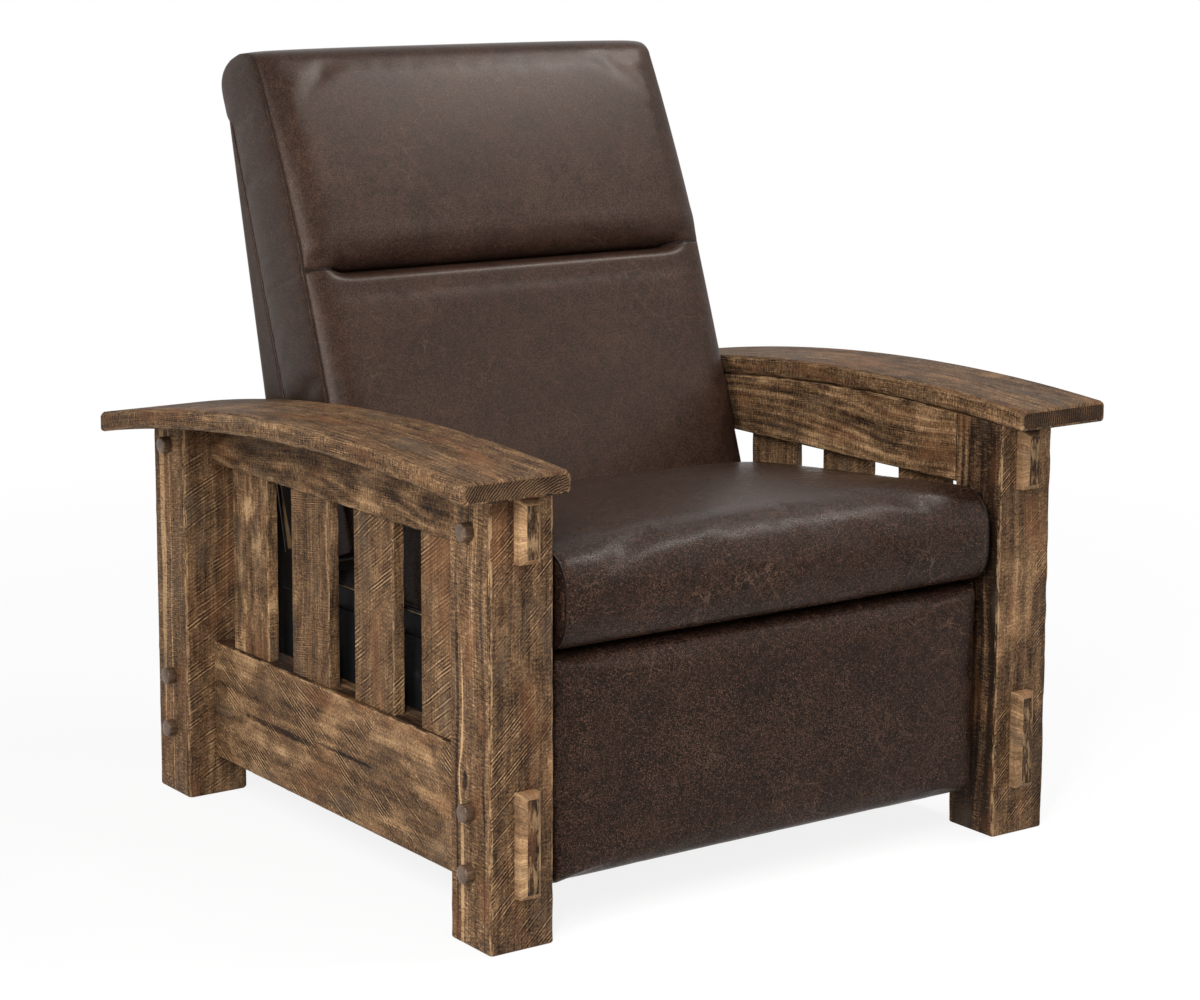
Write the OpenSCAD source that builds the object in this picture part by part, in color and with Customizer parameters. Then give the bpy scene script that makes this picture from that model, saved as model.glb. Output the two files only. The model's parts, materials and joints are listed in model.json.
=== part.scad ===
// Slat-sided recliner: oak side frames, a steel push-back mechanism and leather upholstery.
// The front faces -Y and +Z is up. The origin lies on the floor, in the middle of the arms' plan.
// Places along the depth are given from the front face of the front posts, as the name at_ says.

/* [Side frames] */
// Width across the outer faces of the posts
frame_w = 900; // [860:5:940]
// Depth across the front and rear posts
frame_d = 866; // [840:2:890]
// Post width, side to side
post_w = 91.5; // [86:0.5:100]
// Post depth, front to back
post_d = 89.5; // [80:0.5:100]
// Eased corner of posts and slats
eased = 3; // [1:0.5:6]

/* [Arms] */
// Length of an arm
arm_len = 948; // [930:2:980]
// Overhang of the arm in front of the posts
arm_nose = 37; // [25:1:50]
// Width of an arm
arm_w = 152; // [130:1:170]
// Thickness of an arm
arm_t = 28; // [22:1:34]
// Height of the arm's highest line above the floor
arm_crown_z = 603; // [585:1:625]
// Radius of the arm's bow
arm_bow_r = 3450; // [3000:50:4200]
// Distance of the arm's highest line behind the front posts' faces
arm_crown_at = 255; // [200:5:320]
// Rounding of the arm's long edges
arm_round = 9; // [4:1:12]

/* [Rails and slats] */
// Thickness of the side rails
rail_t = 48.5; // [40:0.5:56]
// Underside of the bottom rail above the floor
bottom_rail_z = 55; // [40:1:80]
// Height of the bottom rail
bottom_rail_h = 167; // [140:1:180]
// Depth of the top rail under the arm, at the middle of the rear post
top_rail_drop = 50.8; // [46:0.1:70]
// Length of a rail's tenon inside the post
tenon_len = 65; // [60:1:72]
// Thickness of a rail's tenon
tenon_t = 28; // [22:1:32]
// Number of slats on each side
slat_count = 4; // [3:1:5]
// Width of a slat
slat_w = 98; // [80:1:110]
// Thickness of a slat
slat_t = 17; // [12:1:22]
// Free space between a post and the slat beside it
slat_end_gap = 47.75; // [40:0.25:60]
// Depth of a slat's end in the rail
slat_housing = 12; // [8:1:16]
// Outer rail face to the slat's outer face
slat_inset = 7; // [4:0.5:12]

/* [Tenon ends and pegs] */
// Width of a through tenon's end
tenon_end_w = 30; // [24:1:36]
// Depth that a tenon's end stands proud
tenon_end_proud = 19; // [12:1:24]
// Chamfer on a tenon's end
tenon_end_chamfer = 6.5; // [3:0.5:9]
// Height of a bottom tenon's end
tenon_end_h = 132; // [110:1:145]
// Diameter of a peg
peg_d = 23.2; // [18:0.1:26]
// Length of the peg that stands proud of the post
peg_proud = 13; // [8:1:18]
// Heights of the two pegs in the bottom rail
peg_z_low = 94; // [90:1:100]
peg_z_high = 170; // [160:1:176]
// Height of the front post's upper peg above the top rail's underside
peg_up_front = 37; // [32:0.5:44]
// Height of the rear post's upper peg above the top rail's underside
peg_up_rear = 24; // [20:0.5:30]

/* [Cross members] */
// Thickness of the two cross members
cross_t = 26; // [20:1:32]
// Height of the rear rail
rear_rail_h = 110; // [90:1:140]
// Height of the low centre stretcher
stretcher_h = 55; // [40:1:60]
// Front face of the centre stretcher
stretcher_at = 380; // [375:1:420]

/* [Mechanism] */
// Thickness of the steel plates and links
steel_t = 3; // [2.5:0.1:3.4]
// Free space between neighbouring plates
steel_gap = 1; // [0.8:0.1:1.2]
// Half the width of a link
link_r = 12; // [10:0.5:13]
// Radius of a rivet
rivet_r = 4; // [3:0.1:5]
// Running clearance of a rivet in a link, on the radius
running = 0.1; // [0.05:0.01:0.3]
// Length of the swing links between their pivots
swing_len = 120; // [110:1:125]
// Height of the swing links' upper pivots
swing_z = 305; // [300:1:312]
// Front swing link's place
swing_front_at = 260; // [250:1:280]
// Rear swing link's place
swing_rear_at = 560; // [545:1:570]
// Radius of the tube that ties the two sides of the seat
tie_r = 9; // [7:0.5:12]
// Wall of the tie tube
tie_wall = 2; // [1.5:0.1:3]
// Pivot of the back on the seat plate
back_pivot_at = 650; // [646:1:656]
back_pivot_z = 345; // [340:1:350]
// Distance of the stop pin from the back pivot
stop_r = 50; // [44:1:54]
// Recline of the back from upright to its stop
recline = 32; // [20:1:34]

/* [Seat] */
// Free space between the seat cushion and a post
seat_side_gap = 16.5; // [12:0.5:28]
// Underside of the seat cushion
seat_z = 345.5; // [344:0.5:350]
// Thickness of the seat cushion at its sides
seat_t = 133; // [110:1:140]
// Front of the cushion's nose
seat_nose_at = -3; // [-12:1:6]
// Free space between the seat cushion and the back cushion
seat_back_gap = 0.4; // [0.3:0.1:6]
// Rake of the seat cushion's rear side
seat_rake = 34; // [28:1:38]
// Crown of the seat cushion in its middle
seat_crown = 20; // [5:1:28]
// Drop of the seat cushion's top from its nose to its rear
seat_fall = 38; // [0:1:45]
// Rise of the cushion's underside at its nose
nose_lift = 8; // [0:0.5:12]
// Thickness of the seat frame's rails
seat_rail_t = 20; // [18:1:24]
// Height of the seat frame's rails
seat_rail_h = 48; // [40:1:50]
// Front face of the seat frame
seat_frame_at = 75; // [74:1:80]
// Distance from the seat frame's rear face to the back pivot
seat_frame_behind = 60; // [58:1:72]
// Thickness of the deck cloth
deck_t = 2.5; // [1.5:0.5:4]

/* [Footrest] */
// Free space between the footrest panel and a post
foot_side_gap = 13.5; // [11:0.5:28]
// Lower edge of the footrest panel
foot_z = 60; // [56:1:75]
// Free space between the footrest panel and the seat cushion
foot_top_gap = 3.5; // [2:0.5:20]
// Front face of the footrest's pad
foot_at = 24; // [20:1:30]
// Thickness of the pad
foot_pad_t = 30; // [24:1:32]
// Thickness of the board
foot_board_t = 15; // [12:1:18]

/* [Back] */
// Free space between the back cushion and a post's inner face
back_side_gap = 21.5; // [16:0.5:34]
// Lean of the cushion's rear plane from upright
back_lean = 20.5; // [18:0.5:23]
// Lean of the outer back from upright
outer_lean = 13.6; // [12:0.1:15]
// Distance of the cushion's rear plane in front of the back pivot
back_plane_ahead = 41; // [38:1:44]
// Distance of the outer back behind the cushion's rear plane, at the outer back's top
outer_back_behind = 13.2; // [12:0.2:20]
// Length of the cushion up the back
back_len = 724; // [690:1:740]
// Thickness of the cushion at the bottom, in the small of the back and at the top
back_t_low = 112; // [100:1:120]
back_t_mid = 121; // [110:1:130]
back_t_top = 103; // [90:1:115]
// Height of the sewn channel along the cushion
channel_up = 393; // [370:1:420]
// Depth of the sewn channel
channel_depth = 24; // [5:1:30]
// Crown of the back cushion in its middle
back_crown = 16; // [5:1:22]
// Thickness of the outer back's leather on its board
outer_t = 4; // [3:0.5:6]
// Height of the outer back's top edge above the start of the cushion's roll
outer_rise = 3.7; // [0:0.1:5]
// Free space between the back bracket and the outer back's side wall
outer_side_gap = 2; // [1:0.5:20]
// Width of a back stile
stile_w = 25; // [20:1:32]

/* [Hidden] */

fine = 48;
drum_fn = 1440;
oak = "sienna";
steel = "slategray";
leather = "saddlebrown";
softwood = "burlywood";

// Frame places
front_y = -arm_len / 2 + arm_nose;
rear_y = front_y + frame_d;
inner_x = frame_w / 2 - post_w;
arm_x = inner_x + arm_w / 2;
crown_y = front_y + arm_crown_at;
drum_z = arm_crown_z - arm_bow_r;
bottom_rail_top = bottom_rail_z + bottom_rail_h;
top_rail_z = arm_under(rear_y - post_d / 2) - top_rail_drop;
slat_pitch = (frame_d - 2 * post_d - 2 * slat_end_gap - slat_w) / (slat_count - 1);
cross_rise = 5;
rail_gap = 0.3;
soft_gap = 0.3;
rail_x = inner_x + rail_t / 2;
slat_x = inner_x + rail_t - slat_inset - slat_t / 2;
peg_in_x = rail_x - tenon_t / 2 - 4;
tenon_shy = 8;
tenon_margin = 17;

// Mechanism layers, counted inwards from the base bracket's inner face
base_x = inner_x - steel_t;
swing_layer = 0;
seat_layer = 1;
main_layer = 2;
scissor_layer = 3;
cross_layer = 4;
footrest_layer = 5;
bracket_layer = 6;
rivet_proud = 0.4;
function layer_x(k) = base_x - (k + 1) * (steel_gap + steel_t);
seat_plate_x = layer_x(seat_layer);

// Upholstery places
seat_half_w = inner_x - seat_side_gap;
foot_half_w = inner_x - foot_side_gap;
back_half_w = inner_x - back_side_gap;
stile_x = back_half_w - outer_t - 0.5;
back_plane_at = back_pivot_at - back_plane_ahead;
seat_frame_d = back_pivot_at - seat_frame_at - seat_frame_behind;
foot_h = seat_z + nose_lift - foot_top_gap - foot_z;
seat_top_end_y = plane_y(seat_z + seat_t) - (back_t_mid + back_crown) / cos(back_lean) - seat_back_gap;
seat_end_y = seat_top_end_y - seat_rake;
ridge_len = 40;
roll_back = 12;
roll_drop = 42;
roll_slope = 12;
outer_top_z = back_pivot_z + (back_len - ridge_len - roll_drop) * cos(back_lean) + outer_rise;
stile_foot_drop = 15;
stile_top_drop = 70;
stile_low_z = back_pivot_z - stile_foot_drop;
stile_top_z = outer_top_z - stile_top_drop;
bracket_reach = 110;
back_bracket_top = back_pivot_z + bracket_reach;
back_arm_r = 18;

// Pivots of the footrest linkage in the closed position, as depth and height
main_at = 127;
main_z = 270;
cross_at = 181.6;
cross_z = 264.1;
knee_at = 272.3;
knee_z = 143.6;
tail_at = 330;
tail_z = 146.6;
elbow_at = 302.3;
elbow_z = 181.7;
foot_pivot_at = 94;
lower_foot_z = 203.1;
upper_foot_z = 268;
main_pivot = [front_y + main_at, main_z];
cross_pivot = [front_y + cross_at, cross_z];
knee_pivot = [front_y + knee_at, knee_z];
tail_pivot = [front_y + tail_at, tail_z];
elbow_pivot = [front_y + elbow_at, elbow_z];
lower_foot_pivot = [front_y + foot_pivot_at, lower_foot_z];
upper_foot_pivot = [front_y + foot_pivot_at, upper_foot_z];
front_swing_top = [front_y + swing_front_at, swing_z];
rear_swing_top = [front_y + swing_rear_at, swing_z];
front_swing_low = front_swing_top - [0, swing_len];
rear_swing_low = rear_swing_top - [0, swing_len];
back_pivot = [front_y + back_pivot_at, back_pivot_z];

// Seat places
seat_front_y = front_y + seat_frame_at;
seat_rear_y = seat_front_y + seat_frame_d;
seat_rail_top = seat_z - deck_t;
seat_rail_z = seat_rail_top - seat_rail_h;
board_y = front_y + foot_at + foot_pad_t;
bracket_y = board_y + foot_board_t;

// Plane shapes

// Rounded bar from p to q. Its sides stand in by a hair, so that they cut the end circles cleanly
module bar(p, q, r) {
  d = q - p;
  half = r - 0.05;
  translate(p) circle(r, $fn = fine);
  translate(q) circle(r, $fn = fine);
  translate(p) rotate(atan2(d[1], d[0])) translate([0, -half]) square([norm(d), 2 * half]);
}

module eased_rect(w, d, c) {
  polygon([
    [c - w / 2, -d / 2], [w / 2 - c, -d / 2], [w / 2, c - d / 2], [w / 2, d / 2 - c],
    [w / 2 - c, d / 2], [c - w / 2, d / 2], [-w / 2, d / 2 - c], [-w / 2, c - d / 2]
  ]);
}

module round_rect(w, d, r) {
  translate([-w / 2 + r, -d / 2]) square([w - 2 * r, d]);
  translate([-w / 2, -d / 2 + r]) square([w, d - 2 * r]);
  for (x = [r - w / 2, w / 2 - r], y = [r - d / 2, d / 2 - r])
    translate([x, y]) circle(r, $fn = fine);
}

// Puts a drawing of depth and height at the side position x, t thick towards +X
module side_plate(x, t) {
  translate([x, 0, 0]) rotate([90, 0, 90]) linear_extrude(t) children();
}

// Round pin along X at a depth and height
module pin(at, x0, x1, r) {
  translate([x0, at[0], at[1]]) rotate([0, 90, 0]) cylinder(r = r, h = x1 - x0, $fn = fine);
}

module both_sides() {
  children();
  mirror([1, 0, 0]) children();
}

// Wooden side frame, drawn for the right side

// Everything inside the arm's bowed drum, shy of its top by the given depth
module under_arm(shy) {
  translate([-frame_w, crown_y, drum_z]) rotate([0, 90, 0])
    cylinder(r = arm_bow_r - shy, h = 2 * frame_w, $fn = drum_fn);
}

function arm_under(y) = drum_z + sqrt(pow(arm_bow_r - arm_t, 2) - pow(y - crown_y, 2));

module rail_tenon(y, z0, z1) {
  translate([rail_x - tenon_t / 2, y, z0]) cube([tenon_t, tenon_len, z1 - z0]);
}

module bottom_tenons() {
  for (y = [front_y + post_d - tenon_len, rear_y - post_d])
    rail_tenon(y, bottom_rail_z + tenon_margin, bottom_rail_top - tenon_margin);
}

module top_tenons() {
  intersection() {
    union() {
      for (y = [front_y + post_d - tenon_len, rear_y - post_d])
        rail_tenon(y, top_rail_z + tenon_shy, arm_crown_z);
    }
    under_arm(arm_t + tenon_shy);
  }
}

function peg_places() = [
  for (p = [[front_y + post_d / 2, peg_up_front], [rear_y - post_d / 2, peg_up_rear]])
    each [[p[0], peg_z_low], [p[0], peg_z_high], [p[0], top_rail_z + p[1]]]
];

module peg_holes() {
  for (p = peg_places()) pin(p, peg_in_x, frame_w, peg_d / 2);
}

module post(y) {
  color(oak) difference() {
    intersection() {
      translate([frame_w / 2 - post_w / 2, y + post_d / 2, 0])
        linear_extrude(arm_crown_z) eased_rect(post_w, post_d, eased);
      under_arm(arm_t);
    }
    bottom_tenons();
    top_tenons();
    peg_holes();
    rear_rail_body();
  }
}

module arm() {
  span = 17;
  lead = 5.4;
  color(oak) intersection() {
    translate([0, crown_y, drum_z]) rotate([90, 0, 90]) rotate([0, 0, 90 + lead - span])
      rotate_extrude(angle = span, $fn = drum_fn)
        translate([arm_bow_r - arm_t / 2, arm_x]) round_rect(arm_t, arm_w, arm_round);
    translate([0, -arm_len / 2, 0]) cube([frame_w, arm_len, 2 * arm_crown_z]);
  }
}

module slat_shape() {
  z0 = bottom_rail_top - slat_housing;
  z1 = top_rail_z + slat_housing;
  middle = (front_y + rear_y) / 2;
  for (i = [0:slat_count - 1])
    translate([slat_x, middle + (i - (slat_count - 1) / 2) * slat_pitch, z0])
      linear_extrude(z1 - z0) eased_rect(slat_t, slat_w, eased);
}

module slats() {
  color(oak) slat_shape();
}

module bottom_rail() {
  color(oak) difference() {
    union() {
      translate([inner_x, front_y + post_d, bottom_rail_z])
        cube([rail_t, frame_d - 2 * post_d, bottom_rail_h]);
      bottom_tenons();
    }
    slat_shape();
    peg_holes();
    bracket_screw_set();
  }
}

module top_rail() {
  color(oak) difference() {
    union() {
      intersection() {
        translate([inner_x, front_y + post_d, top_rail_z])
          cube([rail_t, frame_d - 2 * post_d, arm_crown_z - top_rail_z]);
        under_arm(arm_t + rail_gap);
      }
      top_tenons();
    }
    slat_shape();
    peg_holes();
    arm_screw_set();
  }
}

module arm_bored() {
  difference() {
    arm();
    color(oak) arm_screw_set();
  }
}

tenon_end_x = frame_w / 2 - post_w / 2 - 3;
tenon_end_drop = 5;
tenon_end_shy = 7;

// A chamfered block, standing proud of a post's face at depth y; out is -1 to the front, 1 to the rear
module tenon_end(y, out, z0, z1) {
  x = tenon_end_x;
  c = tenon_end_chamfer;
  w = tenon_end_w / 2;
  p = tenon_end_proud;
  intersection() {
    translate([x, y, 0]) linear_extrude(arm_crown_z)
      polygon([[-w, 0], [w, 0], [w, out * (p - c)], [w - c, out * p], [c - w, out * p], [-w, out * (p - c)]]);
    side_plate(x - w, 2 * w)
      polygon([
        [y, z0], [y + out * (p - c), z0], [y + out * p, z0 + c], [y + out * p, z1 - c],
        [y + out * (p - c), z1], [y, z1]
      ]);
  }
}

module tenon_ends() {
  low_z = bottom_rail_z + (bottom_rail_h - tenon_end_h) / 2 - tenon_end_drop;
  for (face = [[front_y, -1], [rear_y, 1]]) {
    color(oak) both_sides() tenon_end(face[0], face[1], low_z, low_z + tenon_end_h);
    color(oak) both_sides()
      tenon_end(face[0], face[1], top_rail_z + 1,
        arm_under(face[0] + face[1] * tenon_end_proud) - tenon_end_shy);
  }
}

module peg(at) {
  rim = 2;
  tip = frame_w / 2 + peg_proud;
  pin(at, peg_in_x, tip - rim, peg_d / 2);
  translate([tip - rim, at[0], at[1]]) rotate([0, 90, 0])
    cylinder(r1 = peg_d / 2, r2 = peg_d / 2 - rim, h = rim, $fn = fine);
}

module pegs() {
  color("dimgray") both_sides() for (p = peg_places()) peg(p);
}

// Cross members between the side frames
rear_rail_housing = 6;

module rear_rail_body() {
  reach = inner_x + rear_rail_housing;
  translate([-reach, rear_y - post_d / 2 - cross_t / 2, bottom_rail_z + cross_rise])
    cube([2 * reach, cross_t, rear_rail_h]);
}

module rear_rail() {
  color(oak) rear_rail_body();
}

module centre_stretcher() {
  color(softwood) translate([-inner_x, front_y + stretcher_at, bottom_rail_z + cross_rise])
    cube([2 * inner_x, cross_t, stretcher_h]);
}

// Screws of the frame: one set up into each arm, one through each base bracket

screw_r = 2.5;
screw_head_r = 5;
screw_head_t = 1.8;
arm_screw_bore = 40;
arm_screw_bite = 14;
arm_screw_ys = [-250, 0, 250];
bracket_screw_len = 30;
bracket_screw_at = [190, 330, 490, 640];
bracket_screw_z = 150;
bracket_low_z = 135;
bracket_front_at = 165;
bracket_rear_at = 665;
bracket_rise = 10;
bracket_ear_r = 22;

module arm_screw_set() {
  for (y = arm_screw_ys) {
    translate([rail_x, y, top_rail_z]) cylinder(r = screw_r, h = arm_under(y) + arm_screw_bite - top_rail_z, $fn = fine);
    translate([rail_x, y, top_rail_z]) cylinder(r = screw_head_r, h = arm_screw_bore, $fn = fine);
  }
}

module arm_screws() {
  for (y = arm_screw_ys) {
    z0 = top_rail_z + arm_screw_bore;
    translate([rail_x, y, z0 - screw_head_t]) cylinder(r = screw_head_r, h = screw_head_t, $fn = fine);
    translate([rail_x, y, z0]) cylinder(r = screw_r, h = arm_under(y) + arm_screw_bite - z0, $fn = fine);
  }
}

module bracket_screw_set() {
  for (at = bracket_screw_at)
    pin([front_y + at, bracket_screw_z], base_x, inner_x + bracket_screw_len, screw_r);
}

module frame_screws() {
  color("gainsboro") both_sides() {
    arm_screws();
    bracket_screw_set();
    for (at = bracket_screw_at)
      pin([front_y + at, bracket_screw_z], base_x - screw_head_t, base_x, screw_head_r);
  }
}

// Mechanism, drawn for the right side

module base_bracket() {
  low = front_y + bracket_front_at;
  high = front_y + bracket_rear_at;
  color(steel) difference() {
    side_plate(base_x, steel_t) {
      translate([low, bracket_low_z]) square([high - low, swing_z + bracket_rise - bracket_low_z]);
      for (top = [front_swing_top, rear_swing_top]) translate(top) circle(bracket_ear_r, $fn = fine);
    }
    for (top = [front_swing_top, rear_swing_top]) pin(top, 0, frame_w, rivet_r);
    bracket_screw_set();
  }
}

module base_rivets() {
  color(steel) both_sides()
    for (top = [front_swing_top, rear_swing_top])
      pin(top, layer_x(swing_layer) - rivet_proud, inner_x, rivet_r);
}

// Extra radius of the boss at a middle pivot
boss = 1.5;

// A link from p to q with a hole at each end; loose holes get the running clearance
module link(k, p, q, loose_p, loose_q) {
  color(steel) difference() {
    side_plate(layer_x(k), steel_t) bar(p, q, link_r);
    pin(p, 0, frame_w, rivet_r + (loose_p ? running : 0));
    pin(q, 0, frame_w, rivet_r + (loose_q ? running : 0));
  }
}

module front_swing_link() {
  link(swing_layer, front_swing_top, front_swing_low, true, true);
}

module rear_swing_link() {
  link(swing_layer, rear_swing_top, rear_swing_low, true, true);
}

stop_slot_r = rivet_r + 0.5;

// Arc slot round the back pivot, which stops the recline at both ends
module stop_slot() {
  spare = 1;
  translate([seat_plate_x - steel_t, back_pivot[0], back_pivot[1]]) rotate([90, 0, 90])
    rotate([0, 0, -90 - recline - spare]) {
      rotate_extrude(angle = recline + 2 * spare, $fn = 96)
        translate([stop_r - stop_slot_r, 0]) square([2 * stop_slot_r, 3 * steel_t]);
      for (a = [0, recline + 2 * spare])
        rotate([0, 0, a]) translate([stop_r, 0, 0])
          cylinder(r = stop_slot_r - running, h = 3 * steel_t, $fn = fine);
    }
}

seat_screw_at = [110, 230, 400, 540];
function seat_screw_places() = [for (at = seat_screw_at) [front_y + at, seat_rail_z + seat_rail_h / 2]];

rail_bar_r = 24;
front_bar_r = 30;
swing_bar_r = 18;
back_bar_r = 26;
tie_bar_r = 20;
tie_at = 500;
tie_drop = 30;
tie_place = [front_y + tie_at, seat_rail_z - tie_drop];

// Steel side of the seat: a bar along the rail, with a lobe down or up to each pivot
main_lobe = [6, 4];
cross_lobe = [20, 10];

module seat_plate() {
  front = [seat_front_y + rail_bar_r, seat_rail_top - rail_bar_r];
  rear = [seat_rear_y, front[1]];
  color(steel) difference() {
    side_plate(seat_plate_x, steel_t) {
      bar(front, rear, rail_bar_r);
      bar(main_pivot + main_lobe, cross_pivot + cross_lobe, front_bar_r);
      for (p = [front_swing_low, rear_swing_low]) bar(p, [p[0], front[1]], swing_bar_r);
      bar(main_pivot, [main_pivot[0] + 6, front[1]], rail_bar_r - 1);
      bar(rear, back_pivot, back_bar_r);
      bar(back_pivot, back_pivot - [0.6 * stop_r, stop_r - 8], back_bar_r - 2);
      bar(tie_place, [tie_place[0], front[1]], tie_bar_r);
    }
    pin(main_pivot, 0, frame_w, rivet_r);
    pin(cross_pivot, 0, frame_w, rivet_r);
    pin(front_swing_low, 0, frame_w, rivet_r);
    pin(rear_swing_low, 0, frame_w, rivet_r);
    pin(back_pivot, 0, frame_w, rivet_r);
    pin(tie_place, 0, frame_w, tie_r);
    stop_slot();
    for (p = seat_screw_places()) pin(p, 0, frame_w, screw_r);
  }
}

module tie_tube() {
  half = seat_plate_x + steel_t;
  color(steel) difference() {
    pin(tie_place, -half, half, tie_r);
    pin(tie_place, -half - 1, half + 1, tie_r - tie_wall);
  }
}

module seat_rivets() {
  back_pin_x = stile_x;
  outer = seat_plate_x + steel_t;
  color(steel) both_sides() {
    for (p = [front_swing_low, rear_swing_low])
      pin(p, seat_plate_x, layer_x(swing_layer) + steel_t + rivet_proud, rivet_r);
    pin(main_pivot, layer_x(main_layer) - rivet_proud, outer, rivet_r);
    pin(cross_pivot, layer_x(cross_layer) - rivet_proud, outer, rivet_r);
    pin(back_pivot, back_pin_x, outer, rivet_r);
  }
}

module seat_screws() {
  outer = seat_plate_x + steel_t;
  color("gainsboro") both_sides()
    for (p = seat_screw_places()) {
      pin(p, outer - 15, outer, screw_r);
      pin(p, outer, outer + 1.5, screw_head_r - 1);
    }
}

module main_link() {
  link(main_layer, main_pivot, knee_pivot, true, false);
}

module main_rivets() {
  color(steel) both_sides()
    pin(knee_pivot, layer_x(scissor_layer) - rivet_proud, layer_x(main_layer) + steel_t, rivet_r);
}

module scissor_link() {
  color(steel) difference() {
    side_plate(layer_x(scissor_layer), steel_t) {
      bar(tail_pivot, knee_pivot, link_r);
      bar(knee_pivot, lower_foot_pivot, link_r);
      translate(knee_pivot) circle(link_r + boss, $fn = fine);
    }
    for (p = [tail_pivot, knee_pivot, lower_foot_pivot]) pin(p, 0, frame_w, rivet_r + running);
  }
}

module cross_link() {
  color(steel) difference() {
    side_plate(layer_x(cross_layer), steel_t) {
      bar(cross_pivot, elbow_pivot, link_r);
      bar(elbow_pivot, tail_pivot, link_r);
      translate(elbow_pivot) circle(link_r + boss, $fn = fine);
    }
    pin(cross_pivot, 0, frame_w, rivet_r + running);
    pin(elbow_pivot, 0, frame_w, rivet_r);
    pin(tail_pivot, 0, frame_w, rivet_r);
  }
}

// The elbow rivet carries the footrest link. The tail rivet ends short of the scissor link.
module cross_rivets() {
  inner = layer_x(cross_layer);
  color(steel) both_sides() {
    pin(elbow_pivot, layer_x(footrest_layer) - rivet_proud, inner + steel_t, rivet_r);
    pin(tail_pivot, inner, inner + steel_t + steel_gap / 2, rivet_r);
  }
}

module footrest_link() {
  link(footrest_layer, elbow_pivot, upper_foot_pivot, true, true);
}

foot_bracket_drop = 30;

module footrest_bracket() {
  inner = layer_x(bracket_layer);
  foot = 26;
  low = lower_foot_pivot[1] - foot_bracket_drop;
  high = upper_foot_pivot[1] + link_r;
  color(steel) difference() {
    union() {
      side_plate(inner, steel_t) {
        bar(lower_foot_pivot, upper_foot_pivot, link_r);
        translate([bracket_y, low]) square([lower_foot_pivot[0] - bracket_y, high - low]);
      }
      translate([inner - foot, bracket_y, low]) cube([foot + steel_t, steel_t, high - low]);
    }
    pin(lower_foot_pivot, 0, frame_w, rivet_r);
    pin(upper_foot_pivot, 0, frame_w, rivet_r);
  }
}

// The lower rivet carries the scissor link. The upper rivet ends short of the footrest link.
module footrest_rivets() {
  inner = layer_x(bracket_layer);
  color(steel) both_sides() {
    pin(lower_foot_pivot, inner, layer_x(scissor_layer) + steel_t + rivet_proud, rivet_r);
    pin(upper_foot_pivot, inner, inner + steel_t + steel_gap / 2, rivet_r);
  }
}

// Depth of the cushion's rear plane and of the outer back at a height
function plane_y(z) = front_y + back_plane_at + (z - back_pivot_z) * tan(back_lean);
function outer_y(z) = plane_y(outer_top_z) + outer_back_behind - (outer_top_z - z) * tan(outer_lean);

module back_bracket() {
  mid = [(plane_y(back_bracket_top) + outer_y(back_bracket_top)) / 2, back_bracket_top];
  color(steel) difference() {
    side_plate(stile_x, steel_t) {
      bar(back_pivot, mid, back_arm_r);
      bar(back_pivot, back_pivot - [0, stop_r], link_r);
    }
    pin(back_pivot, 0, frame_w, rivet_r + running);
    pin(back_pivot - [0, stop_r], 0, frame_w, rivet_r);
  }
}

module stop_pins() {
  color(steel) both_sides()
    pin(back_pivot - [0, stop_r], stile_x, seat_plate_x + steel_t + rivet_proud, rivet_r);
}

// Seat frame and its springs

module seat_front_rail() {
  half = seat_plate_x - seat_rail_t;
  color(softwood) translate([-half, seat_front_y, seat_rail_z])
    cube([2 * half, seat_rail_t, seat_rail_h]);
}

module seat_rear_rail() {
  translate([0, seat_frame_d - seat_rail_t, 0]) seat_front_rail();
}

module seat_side_rails() {
  color(softwood) difference() {
    both_sides() translate([seat_plate_x - seat_rail_t, seat_front_y, seat_rail_z])
      cube([seat_rail_t, seat_frame_d, seat_rail_h]);
    both_sides() for (p = seat_screw_places()) pin(p, 0, frame_w, screw_r);
  }
}

// Zigzag wire along the first axis, centred on the second, in the plane of the drawing.
// Its centre line stops half a wire short of the span, so that its corners meet the seats
module zigzag(span, half, waves, wire) {
  steps = 10 * waves;
  turn = 360 / 10;
  run = span - wire;
  slope = half * 2 * PI * waves / run;
  middle = [for (i = [0:steps]) [wire / 2 + run * i / steps, half * sin(turn * i)]];
  normal = [for (i = [0:steps]) let (s = slope * cos(turn * i)) [-s, 1] / norm([s, 1])];
  polygon(concat(
    [for (i = [0:steps]) middle[i] + normal[i] * wire / 2],
    [for (i = [steps:-1:0]) middle[i] - normal[i] * wire / 2]
  ));
}

spring_wire = 3.4;
spring_half = 22;
seat_spring_waves = 8;
back_spring_waves = 10;
seat_spring_pitch = 110;

module seat_springs() {
  y0 = seat_front_y + seat_rail_t;
  span = seat_frame_d - 2 * seat_rail_t;
  color("silver") for (i = [-2:2])
    translate([i * seat_spring_pitch, y0, seat_rail_top - spring_wire]) rotate([0, 0, 90])
      linear_extrude(spring_wire) zigzag(span, spring_half, seat_spring_waves, spring_wire);
}

module seat_deck() {
  color("black") translate([-seat_plate_x + 2, seat_front_y, seat_rail_top])
    cube([2 * (seat_plate_x - 2), seat_frame_d, deck_t]);
}

// Soft forms

// Closed skin through rings of equal length, with a fan at each end
module skin(rings) {
  n = len(rings[0]);
  m = len(rings);
  caps = [for (k = [0, m - 1]) [for (c = [0:2]) average([for (p = rings[k]) p[c]])]];
  points = concat([for (r = rings) each r], caps);
  walls = [
    for (k = [0:m - 2], i = [0:n - 1])
      let (j = (i + 1) % n, a = k * n + i, b = k * n + j, c = a + n, d = b + n)
        each [[a, b, d], [a, d, c]]
  ];
  ends = [
    for (i = [0:n - 1])
      let (j = (i + 1) % n)
        each [[j, i, m * n], [(m - 1) * n + i, (m - 1) * n + j, m * n + 1]]
  ];
  polyhedron(points, concat(walls, ends), convexity = 6);
}

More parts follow.
